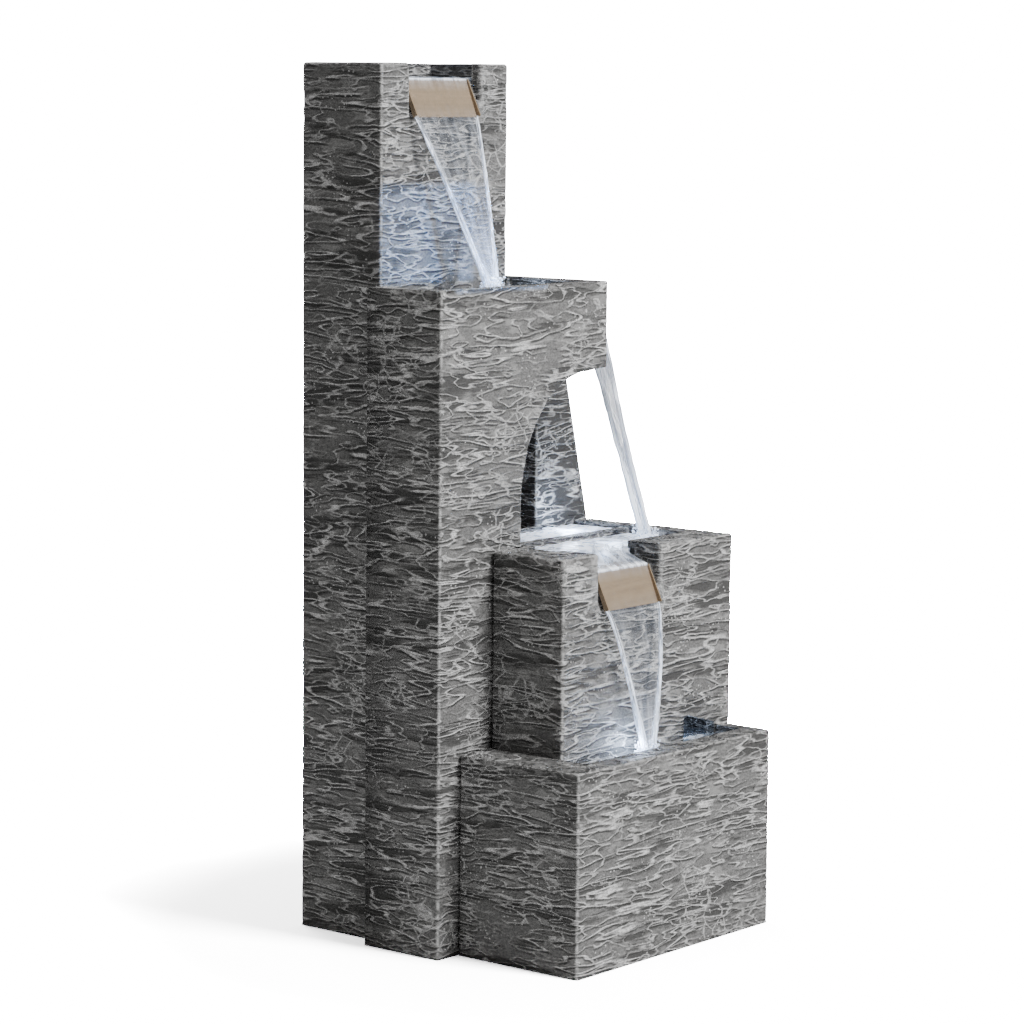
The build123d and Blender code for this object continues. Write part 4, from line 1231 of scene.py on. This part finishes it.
@dataclass
class Strands:
    """Bright strands that wind down the two ropes of a stream."""

    stream: Stream
    counts: tuple[int, int] = (7, 5)
    thick: float = 0.75

    STEPS, SIDES, FOAM = 90, 7, 0.9
    SPREAD, PITCH, LATEST, DRIFT = (0.25, 1.0), (55.0, 95.0), 0.12, 9.0
    CORE, WOBBLE = 2, 2.2

    def path(self, side: int, number: int) -> list[Vector]:
        """Return the points of one strand, in millimetres.

        Args:
            side: The rope that it winds down, 0 for the left one.
            number: Its number on that rope. The first starts at the lip, and only those past the core drift.

        Returns:
            The points, from the lip down.
        """
        edges = (self.stream.left, self.stream.right)
        fall, other = edges[side], edges[1 - side]
        chance = random.Random(self.stream.name + str(side) + str(number))
        turn, spread = chance.uniform(0, 2 * math.pi), chance.uniform(*self.SPREAD)
        pitch = chance.uniform(*self.PITCH) * chance.choice((-1, 1))
        first = chance.uniform(0.0, self.LATEST) if number else 0.0
        drift = chance.uniform(0.0, self.DRIFT) if number > self.CORE else 0.0
        points = []
        for step in range(self.STEPS + 1):
            share = first + (1.0 - first) * step / self.STEPS
            drop = share * (fall.start[2] - fall.end[2])
            reach = self.stream.rope(share, side) * (0.35 + 0.75 * share)
            inward = (other.at(share) - fall.at(share)).normalized()
            angle = turn + drop / pitch * 2
            wobble = noise.noise(Vector((drop * 0.03, number * 3.1, side * 7.7)))
            off = inward * reach * (1.0 + spread * math.cos(angle))
            off += Vector((0, -1, 0)) * reach * spread * math.sin(angle)
            points.append(fall.at(share) + off + inward * (wobble * self.WOBBLE * share + drift * share**2))
        return points

    def build(self, tree: bpy.types.NodeTree, finish: bpy.types.Material) -> bpy.types.Object:
        """Build the strands.

        Args:
            tree: The strand tree.
            finish: The white water's material.

        Returns:
            The piece.
        """
        shape = bmesh.new()
        for side, count in enumerate(self.counts):
            for number in range(count):
                points = [shape.verts.new(point * MM) for point in self.path(side, number)]
                for upper, lower in zip(points, points[1:]):
                    shape.edges.new((upper, lower))
        name = self.stream.name + "_strands"
        piece = new_piece(name, mesh_from(name, shape))
        grown(piece, tree, {"Thick": self.thick * MM, "Sides": self.SIDES, "Finish": finish})
        return wet_grown(piece, self.FOAM, finish)


@dataclass
class SpillFilm:
    """The sheet of water that runs through a notch, over a plate's crest and down to its lip."""

    name: str
    span: Span
    profile: list[Span]
    thick: list[float]
    foam: list[float]
    columns: int = 36

    WAVY, LEAN = 0.125, 0.25

    def build(self, finish: bpy.types.Material) -> bpy.types.Object:
        """Build the sheet.

        Args:
            finish: The water's material.

        Returns:
            The piece.
        """
        rings, foams, flows = [], [], []
        run = np.concatenate([[0.0], np.cumsum(np.hypot(*np.diff(np.array(self.profile), axis=0).T))])
        for (y, z), thick, foam, along in zip(self.profile, self.thick, self.foam, run):
            top, under, flow = [], [], []
            for column in range(self.columns + 1):
                x = self.span[0] + (self.span[1] - self.span[0]) * column / self.columns
                wave = 1.0 + self.WAVY * thick * noise.noise(Vector((x * 0.12, along * 0.08, self.span[0])))
                top.append((x, y - thick * self.LEAN, z + thick * wave))
                under.append((x, y, z))
                flow.append((x * MM, along * MM, 0.0))
            foams += [foam] * len(top + under)
            flows += flow + flow[::-1]
            rings.append(top + under[::-1])
        return wet_shape(self.name, loft(rings), foams, flows, finish)


def splash_tree() -> bpy.types.NodeTree:
    """Make the geometry tree that scatters drops and froth on a patch.

    Returns:
        The tree, with the inputs Geometry, Density, Drop, Rise, Seed and Finish.
    """
    sockets = {
        "Density": ("NodeSocketFloat", 60000.0),
        "Drop": ("NodeSocketFloat", 0.0012),
        "Rise": ("NodeSocketFloat", 0.012),
        "Seed": ("NodeSocketInt", 1),
    }
    tree, desk, entry, leave = shaping_tree("splash_drops", sockets)
    given = entry.outputs
    scatter = desk.node("GeometryNodeDistributePointsOnFaces")
    desk.feed(scatter, {"Mesh": given["Geometry"], "Density": given["Density"], "Seed": given["Seed"]})
    lift = desk.node("FunctionNodeRandomValue", data_type="FLOAT")
    desk.feed(lift, {2: 0.0, 3: 1.0, "Seed": given["Seed"]})
    steep = desk.math("POWER", lift.outputs[1], 3.0)
    up = desk.feed(desk.node("ShaderNodeCombineXYZ"), {2: desk.times(steep, given["Rise"])})
    lifted = desk.node("GeometryNodeSetPosition")
    desk.feed(lifted, {"Geometry": scatter.outputs[0], "Offset": up.outputs[0]})
    drop = desk.feed(desk.node("GeometryNodeMeshIcoSphere"), {"Radius": given["Drop"], "Subdivisions": 2})
    size = desk.node("FunctionNodeRandomValue", data_type="FLOAT")
    desk.feed(size, {2: 0.25, 3: 1.0, "Seed": 7})
    placed = desk.node("GeometryNodeInstanceOnPoints")
    desk.feed(placed, {"Points": lifted.outputs[0], "Instance": drop.outputs[0], "Scale": size.outputs[1]})
    end_shaping(desk, placed, entry, leave)
    return tree


@dataclass
class Splash:
    """Drops and froth thrown up where a stream lands."""

    name: str
    landing: Landing
    level: float
    density: float
    drop: float
    rise: float
    seed: int

    def build(self, tree: bpy.types.NodeTree, finish: bpy.types.Material) -> bpy.types.Object:
        """Build the drops.

        Args:
            tree: The splash tree.
            finish: The foam's material.

        Returns:
            The piece.
        """
        shape = bmesh.new()
        bmesh.ops.create_circle(shape, cap_ends=True, segments=24, radius=self.landing.reach * MM)
        place = Vector((self.landing.x, self.landing.y, self.level)) * MM
        bmesh.ops.translate(shape, vec=place, verts=shape.verts)
        piece = new_piece(self.name, mesh_from(self.name, shape))
        values = {"Density": self.density, "Drop": self.drop * MM, "Rise": self.rise * MM, "Seed": self.seed}
        grown(piece, tree, {**values, "Finish": finish})
        return wet_grown(piece, 1.0, finish)


class Water:
    """All the moving water: pools, sheets over the plates, falling streams and splashes."""

    UPPER_LANDING = Landing(-60.0, 17.0, 15.0, 7.0)
    SIDE_LANDING = Landing(160.0, -38.0, 16.0, 5.0)
    STILL = ("header_water", "upper_pool_water", "chamber_water")
    LOWER_LANDING = Landing(17.0, -153.0, 15.0, 8.0)

    def pools(self) -> list[PoolWater]:
        """List the pools."""
        return [
            PoolWater(
                "header_water",
                [(-168, 121), (29, 121), (29, 189), (-168, 189)],
                Level.HEADER.value,
                foam_everywhere=0.05,
                swirl=0.2,
            ),
            PoolWater(
                "upper_pool_water",
                [(-190, -15), (80, -15), (80, 187), (49, 187), (49, 77), (-190, 77)],
                Level.UPPER.value,
                [self.UPPER_LANDING, Landing(72.0, 8.0, 14.0, 1.0)],
                foam_everywhere=0.25,
            ),
            PoolWater(
                "shelf_water",
                [(-53, 4), (177, 4), (177, 79), (98, 79), (98, 72), (-53, 72)],
                Level.SHELF.value,
                [Landing(120.0, 60.0, 36.0, 1.5)],
                foam_everywhere=1.0,
                swirl=0.5,
            ),
            PoolWater(
                "middle_pool_water",
                [(-71, -88), (177, -88), (177, 2), (-53, 2), (-53, -38), (-71, -38)],
                Level.MIDDLE.value,
                [self.SIDE_LANDING, Landing(40.0, -30.0, 32.0, 1.0)],
                foam_everywhere=0.45,
                swirl=0.6,
            ),
            PoolWater(
                "trough_water",
                [(-124, -175), (176, -175), (176, -133), (-124, -133)],
                Level.TROUGH.value,
                [self.LOWER_LANDING],
                foam_everywhere=0.75,
            ),
            PoolWater(
                "chamber_water",
                [(-106, -125), (195, -125), (195, 70), (-50, 70), (-50, -20), (-106, -20)],
                Level.TROUGH.value,
                foam_everywhere=0.0,
                swirl=0.1,
                step=8.0,
            ),
        ]

    def films(self) -> list[SpillFilm]:
        """List the sheets of water that run over the plates."""
        thinning = [1.0, 0.6, 0.6, 0.5]
        over_upper = [(124, 980.9), (108, 980.9), (96, 980.9), (91, 980.9)]
        down_upper = [(90, 978.4), (85.5, 967.2), (80, 953.7), (74.3, 939.4)]
        over_middle = [(-85, 431.9), (-100, 431.9), (-116, 431.9), (-123.5, 431.9)]
        down_middle = [(-124.5, 429.4), (-129, 418.2), (-134.6, 404.2), (-140.2, 390.4)]
        # At each crest the foam of 1.0 is a painted highlight along the crest; the other values are foam.
        return [
            SpillFilm(
                "upper_spill_film",
                (-131.3, -22.7),
                over_upper + down_upper,
                [3.2, 2.8, 2.2, 1.5] + thinning,
                [0.1, 0.1, 0.2, 1.0, 0.15, 0.0, 0.0, 0.05],
            ),
            SpillFilm(
                "middle_spill_film",
                (-46.3, 50.3),
                over_middle + down_middle,
                [13.0, 10.0, 4.5, 1.8] + thinning,
                [0.5, 0.4, 0.3, 1.0, 0.1, 0.0, 0.0, 0.05],
            ),
        ]

    def streams(self) -> list[Stream]:
        """List the falling streams."""
        return [
            Stream(
                "upper_stream",
                Fall((-132, 73.8, 939.6), (-70, 16, 741), (1.0, 0.9)),
                Fall((-22, 73.8, 939.6), (-50, 15, 741), (0.9, 0.9)),
                ((2.6, 4.2), (1.8, 2.6)),
                seed=1.3,
                merge=0.35,
            ),
            Stream(
                "side_stream",
                Fall((109, 24, 717.6), (154, -33, 446), (1.2, 0.9)),
                Fall((109, -8, 717.6), (168, -43, 446), (1.4, 0.9)),
                ((3.0, 3.6), (2.4, 3.4)),
                film=1.0,
                film_foam=0.42,
                seed=4.1,
                merge=0.2,
            ),
            Stream(
                "lower_stream",
                Fall((-47, -140.6, 390.4), (8, -155, 218), (0.8, 0.75)),
                Fall((51, -140.6, 390.4), (25, -156, 218), (1.9, 0.6)),
                ((2.4, 4.4), (1.9, 3.6)),
                seed=8.7,
                merge=0.4,
            ),
        ]

    def build(self) -> None:
        """Build all the water."""
        pool = WaterFinish("pool_water", 0.55, (60.0, 110.0, 60.0), 1.0).build()
        stream = WaterFinish("falling_water", 0.012, (300.0, 9.0, 1.0), 0.45, 0.03).build()
        film = WaterFinish("film_water", 0.008, (150.0, 12.0, 1.0), 0.4, 0.01).build()
        froth = WaterFinish("froth", 0.5, (400.0, 400.0, 400.0), 0.6).build()
        dim = rgb(0.07, 0.105, 0.15)
        still = WaterFinish("still_water", 0.5, (60.0, 110.0, 60.0), 0.35, 0.2, deep=dim).build()
        for water in self.pools():
            water.build(still if water.name in self.STILL else pool)
        for sheet in self.films():
            sheet.build(film)
        white = WaterFinish("white_strands", 0.35, (260.0, 260.0, 60.0), 0.75, 0.3).build()
        cloudy, slate = rgb(0.13, 0.17, 0.25), rgb(0.3, 0.36, 0.46)
        milky = WaterFinish("milky_water", 0.82, (420.0, 12.0, 1.0), 0.2, 0.2, deep=cloudy).build()
        dense = WaterFinish("dense_strands", 0.85, (260.0, 260.0, 40.0), 0.3, 0.2, deep=slate).build()
        strands = strand_tree()
        for falling in self.streams():
            falling.build(milky if falling.name == "side_stream" else stream)
            Strands(falling).build(strands, dense if falling.name == "side_stream" else white)
        tree = splash_tree()
        for splash in (
            Splash("upper_splash", self.UPPER_LANDING, 743.0, 420000.0, 1.5, 16.0, 3),
            Splash("side_splash", self.SIDE_LANDING, 447.0, 420000.0, 1.4, 12.0, 5),
            Splash("lower_splash", self.LOWER_LANDING, 220.0, 460000.0, 1.5, 18.0, 8),
        ):
            splash.build(tree, froth)


class Fittings:
    """Finishes of the plates, pump, hose, lamps and small fittings, which keep their own shapes."""

    HARDWARE = ("spillway_screws", "hose_clamps", "door_hinge_pins", "cam_screw", "latch_cam")
    NODES = {
        Slot.STEEL: ("upper_spillway_plate", "middle_spillway_plate", "side_spout"),
        Slot.HOSE: ("riser_hose",),
        Slot.BLACK: (
            "pump_motor_body",
            "pump_volute_cover",
            "pump_intake_grille",
            "header_fitting",
            "header_fitting_nut",
            "door_latch",
            "upper_lamp_housing",
            "middle_lamp_housing",
            "lower_lamp_housing",
        ),
        Slot.GREY: ("flow_dial", "impeller"),
        Slot.RUBBER: ("hose_grommets", "shaft_bushings", "pump_suction_feet", "drain_plug", "cable_grommet"),
        Slot.FERRITE: ("rotor_magnet",),
        Slot.CERAMIC: ("impeller_shaft",),
        Slot.BOARD: ("lamp_boards",),
        Slot.LENS: ("upper_lamp_lens", "middle_lamp_lens", "lower_lamp_lens"),
    }

    def finishes(self) -> dict[Slot, bpy.types.Material]:
        """Build one material for each slot."""
        return {
            Slot.STEEL: SteelFinish().build(),
            Slot.HOSE: MouldedFinish("hose_vinyl", rgb(0.03, 0.034, 0.03), 0.32, 0.03, 0.2).build(),
            Slot.BLACK: MouldedFinish("black_plastic", rgb(0.014, 0.014, 0.015), 0.42).build(),
            Slot.GREY: MouldedFinish("grey_plastic", rgb(0.17, 0.175, 0.18), 0.4).build(),
            Slot.RUBBER: MouldedFinish("black_rubber", rgb(0.02, 0.02, 0.02), 0.72, 0.08).build(),
            Slot.FERRITE: MouldedFinish("ferrite", rgb(0.05, 0.05, 0.053), 0.5, 0.05, 0.5, 0.4).build(),
            Slot.CERAMIC: MouldedFinish("white_ceramic", rgb(0.78, 0.77, 0.74), 0.2, 0.01, 0.1).build(),
            Slot.BOARD: MouldedFinish("lamp_board", rgb(0.5, 0.6, 0.72), 0.5, 0.02, 0.1, 0.0, 3.0).build(),
            Slot.LENS: LensFinish().build(),
        }

    def coat(self, names: Iterable[str], material: bpy.types.Material) -> None:
        """Give nodes one material."""
        for name in names:
            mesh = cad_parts[name].data
            mesh.materials.clear()
            mesh.materials.append(material)

    def dress(self) -> None:
        """Give every fitting its material."""
        for slot, material in self.finishes().items():
            self.coat(self.NODES[slot], material)
        plain = SteelFinish("plain_stainless", rgb(0.56, 0.56, 0.55), rgb(0.42, 0.42, 0.41)).build()
        self.coat(self.HARDWARE, plain)


# ------------------------------------------------------------------ studio
def hung(name: str, light: bpy.types.Light) -> bpy.types.Object:
    """Hang a light in the scene, hidden from the camera, and return its object."""
    lamp = new_piece(name, light)
    lamp.visible_camera = False
    return lamp


@dataclass(frozen=True)
class Softbox:
    """A large soft lamp."""

    name: str
    place: Point
    aim: Point
    size: Span
    power: float

    def hang(self) -> None:
        """Hang the lamp in the scene."""
        light = bpy.data.lights.new(self.name, "AREA")
        light.shape = "RECTANGLE"
        light.size, light.size_y = self.size
        light.energy = self.power
        lamp = hung(self.name, light)
        lamp.location = self.place
        lamp.rotation_mode = "QUATERNION"
        lamp.rotation_quaternion = (Vector(self.aim) - Vector(self.place)).to_track_quat("-Z", "Y")


class Studio:
    """Plain pale floor, soft light, white surround and the camera."""

    CAMERA_PLACE = (-3.09219, -2.49150, 0.97283)
    CAMERA_AXES = ((0.63362, -0.77360, 0.00893), (0.08849, 0.08393, 0.99253), (-0.76857, -0.62810, 0.12163))
    LENS = 121.77
    SEEN_WHITE = 20.0
    NEAR_WHITE, FAR_WHITE = 9.0, 260.0
    COOL = (0.62, 0.76, 1.0)
    BEAM_POWER, BEAM_COLOUR = 0.16, (0.2, 0.45, 1.0)
    BEAM_PLACE, BEAM_SIZE, BEAM_SPREAD = (-0.0995, -0.12, 0.805), (0.160, 0.116), math.radians(4)
    GLOWS = (
        ("upper_pool_glow", (-60, 15, 758), 0.05),
        ("side_pool_glow", (60, 60, 744), 0.06),
        ("shelf_glow", (115, 40, 464), 0.42),
        ("middle_pool_glow", (90, -45, 458), 0.10),
        ("notch_glow", (5, -95, 450), 0.05),
        ("trough_glow", (0, -152, 234), 0.36),
        ("return_glow", (120, -118, 232), 0.1),
        ("upper_rim_glow", (-130, 6, 758), 0.14),
    )
    GLOW_RADIUS = 0.012
    FLOOR_RADIUS, FLOOR_DROP, FADE = 14.0, 0.0002, (0.4, 1.3)
    AMBIENT = 0.12

    def floor(self) -> None:
        """Lay the floor, which is one wide disc."""
        shape = bmesh.new()
        bmesh.ops.create_circle(shape, cap_ends=True, segments=96, radius=self.FLOOR_RADIUS)
        bmesh.ops.translate(shape, vec=(0, 0, -self.FLOOR_DROP), verts=shape.verts)
        disc = new_piece("studio_floor", mesh_from("studio_floor", shape))
        finish = Finish("studio_paper")
        path = finish.desk.node("ShaderNodeLightPath")
        reach = finish.desk.node("ShaderNodeVectorMath", operation="LENGTH")
        finish.desk.feed(reach, {0: finish.place})
        far = finish.desk.ramp(reach.outputs["Value"], *self.FADE)
        seen = finish.desk.blend(far, rgb(*[self.NEAR_WHITE] * 3), rgb(*[self.FAR_WHITE] * 3))
        seen = finish.desk.blend(path.outputs["Is Camera Ray"], rgb(0.8, 0.8, 0.8), seen)
        finish.set(Base_Color=seen, Roughness=1.0, Specular_IOR_Level=0.0)
        disc.data.materials.append(finish.material)

    def surround(self) -> None:
        """Light the room evenly and show it white."""
        world = bpy.data.worlds.new("studio")
        bpy.context.scene.world = world
        world.use_nodes = True
        desk = Desk(world.node_tree)
        room = world.node_tree.nodes["Background"]
        desk.feed(room, {"Color": rgb(1, 1, 1), "Strength": self.AMBIENT})
        white = desk.node("ShaderNodeBackground")
        desk.feed(white, {"Color": rgb(1, 1, 1), "Strength": self.SEEN_WHITE})
        both = desk.node("ShaderNodeMixShader")
        seen = desk.node("ShaderNodeLightPath").outputs["Is Camera Ray"]
        desk.feed(both, {0: seen, 1: room.outputs[0], 2: white.outputs[0]})
        desk.tree.links.new(both.outputs[0], world.node_tree.nodes["World Output"].inputs[0])

    def lights(self) -> None:
        """Hang the soft lamps."""
        for softbox in (
            Softbox("key", (0.4, -3.2, 2.95), (0, 0, 0.4), (0.9, 1.7), 345.0),
            Softbox("low_front", (0.1, -3.4, 0.45), (0, 0, 0.15), (1.0, 0.5), 42.0),
            Softbox("fill", (-3.2, 0.4, 3.0), (-0.1, 0.1, 0.8), (1.4, 1.4), 17.0),
            Softbox("top", (0.2, 0.4, 3.4), (0, 0, 0.5), (2.0, 2.0), 30.0),
            Softbox("rear", (1.4, 3.2, 1.6), (0, 0, 0.5), (1.6, 1.6), 60.0),
        ):
            softbox.hang()

    def glow(self) -> None:
        """Set the cool light that falls on the stone by each pool."""
        for name, place, power in self.GLOWS:
            light = bpy.data.lights.new(name, "POINT")
            light.energy, light.color, light.shadow_soft_size = power, self.COOL, self.GLOW_RADIUS
            hung(name, light).location = [part * MM for part in place]
        beam = bpy.data.lights.new("upper_beam", "AREA")
        beam.shape = "RECTANGLE"
        beam.size, beam.size_y = self.BEAM_SIZE
        beam.energy, beam.color, beam.spread = self.BEAM_POWER, self.BEAM_COLOUR, self.BEAM_SPREAD
        lamp = hung("upper_beam", beam)
        lamp.location = self.BEAM_PLACE
        lamp.rotation_euler = (math.radians(90), 0, 0)

    def camera(self) -> None:
        """Set the camera at the product view."""
        data = bpy.data.cameras.new("product_view")
        data.lens = self.LENS
        data.sensor_width = 36.0
        data.clip_start, data.clip_end = 0.05, 60.0
        camera = bpy.data.objects.new("product_view", data)
        turn = Matrix(self.CAMERA_AXES).transposed()
        camera.matrix_world = Matrix.Translation(self.CAMERA_PLACE) @ turn.to_4x4()
        bpy.context.scene.collection.objects.link(camera)
        bpy.context.scene.camera = camera

    def build(self) -> None:
        """Build the whole studio."""
        self.floor()
        self.surround()
        self.lights()
        self.glow()
        self.camera()


def main() -> None:
    """Build every piece in order."""
    logging.basicConfig(level=logging.INFO, format="%(name)s: %(message)s")
    Groups.build()
    stone = StoneFinish("cast_stone").build()
    relief = relief_tree()
    # The buttress stands under the arch; its material paints the arch's shadow onto its front.
    painted_arch_shade = StoneFinish("damp_cast_stone", damp_before=0.083).build()
    for casting in castings():
        casting.build(painted_arch_shade if casting.node == "rear_buttress" else stone, relief)
    Fittings().dress()
    Water().build()
    Studio().build()


if __name__ == "__main__":
    main()
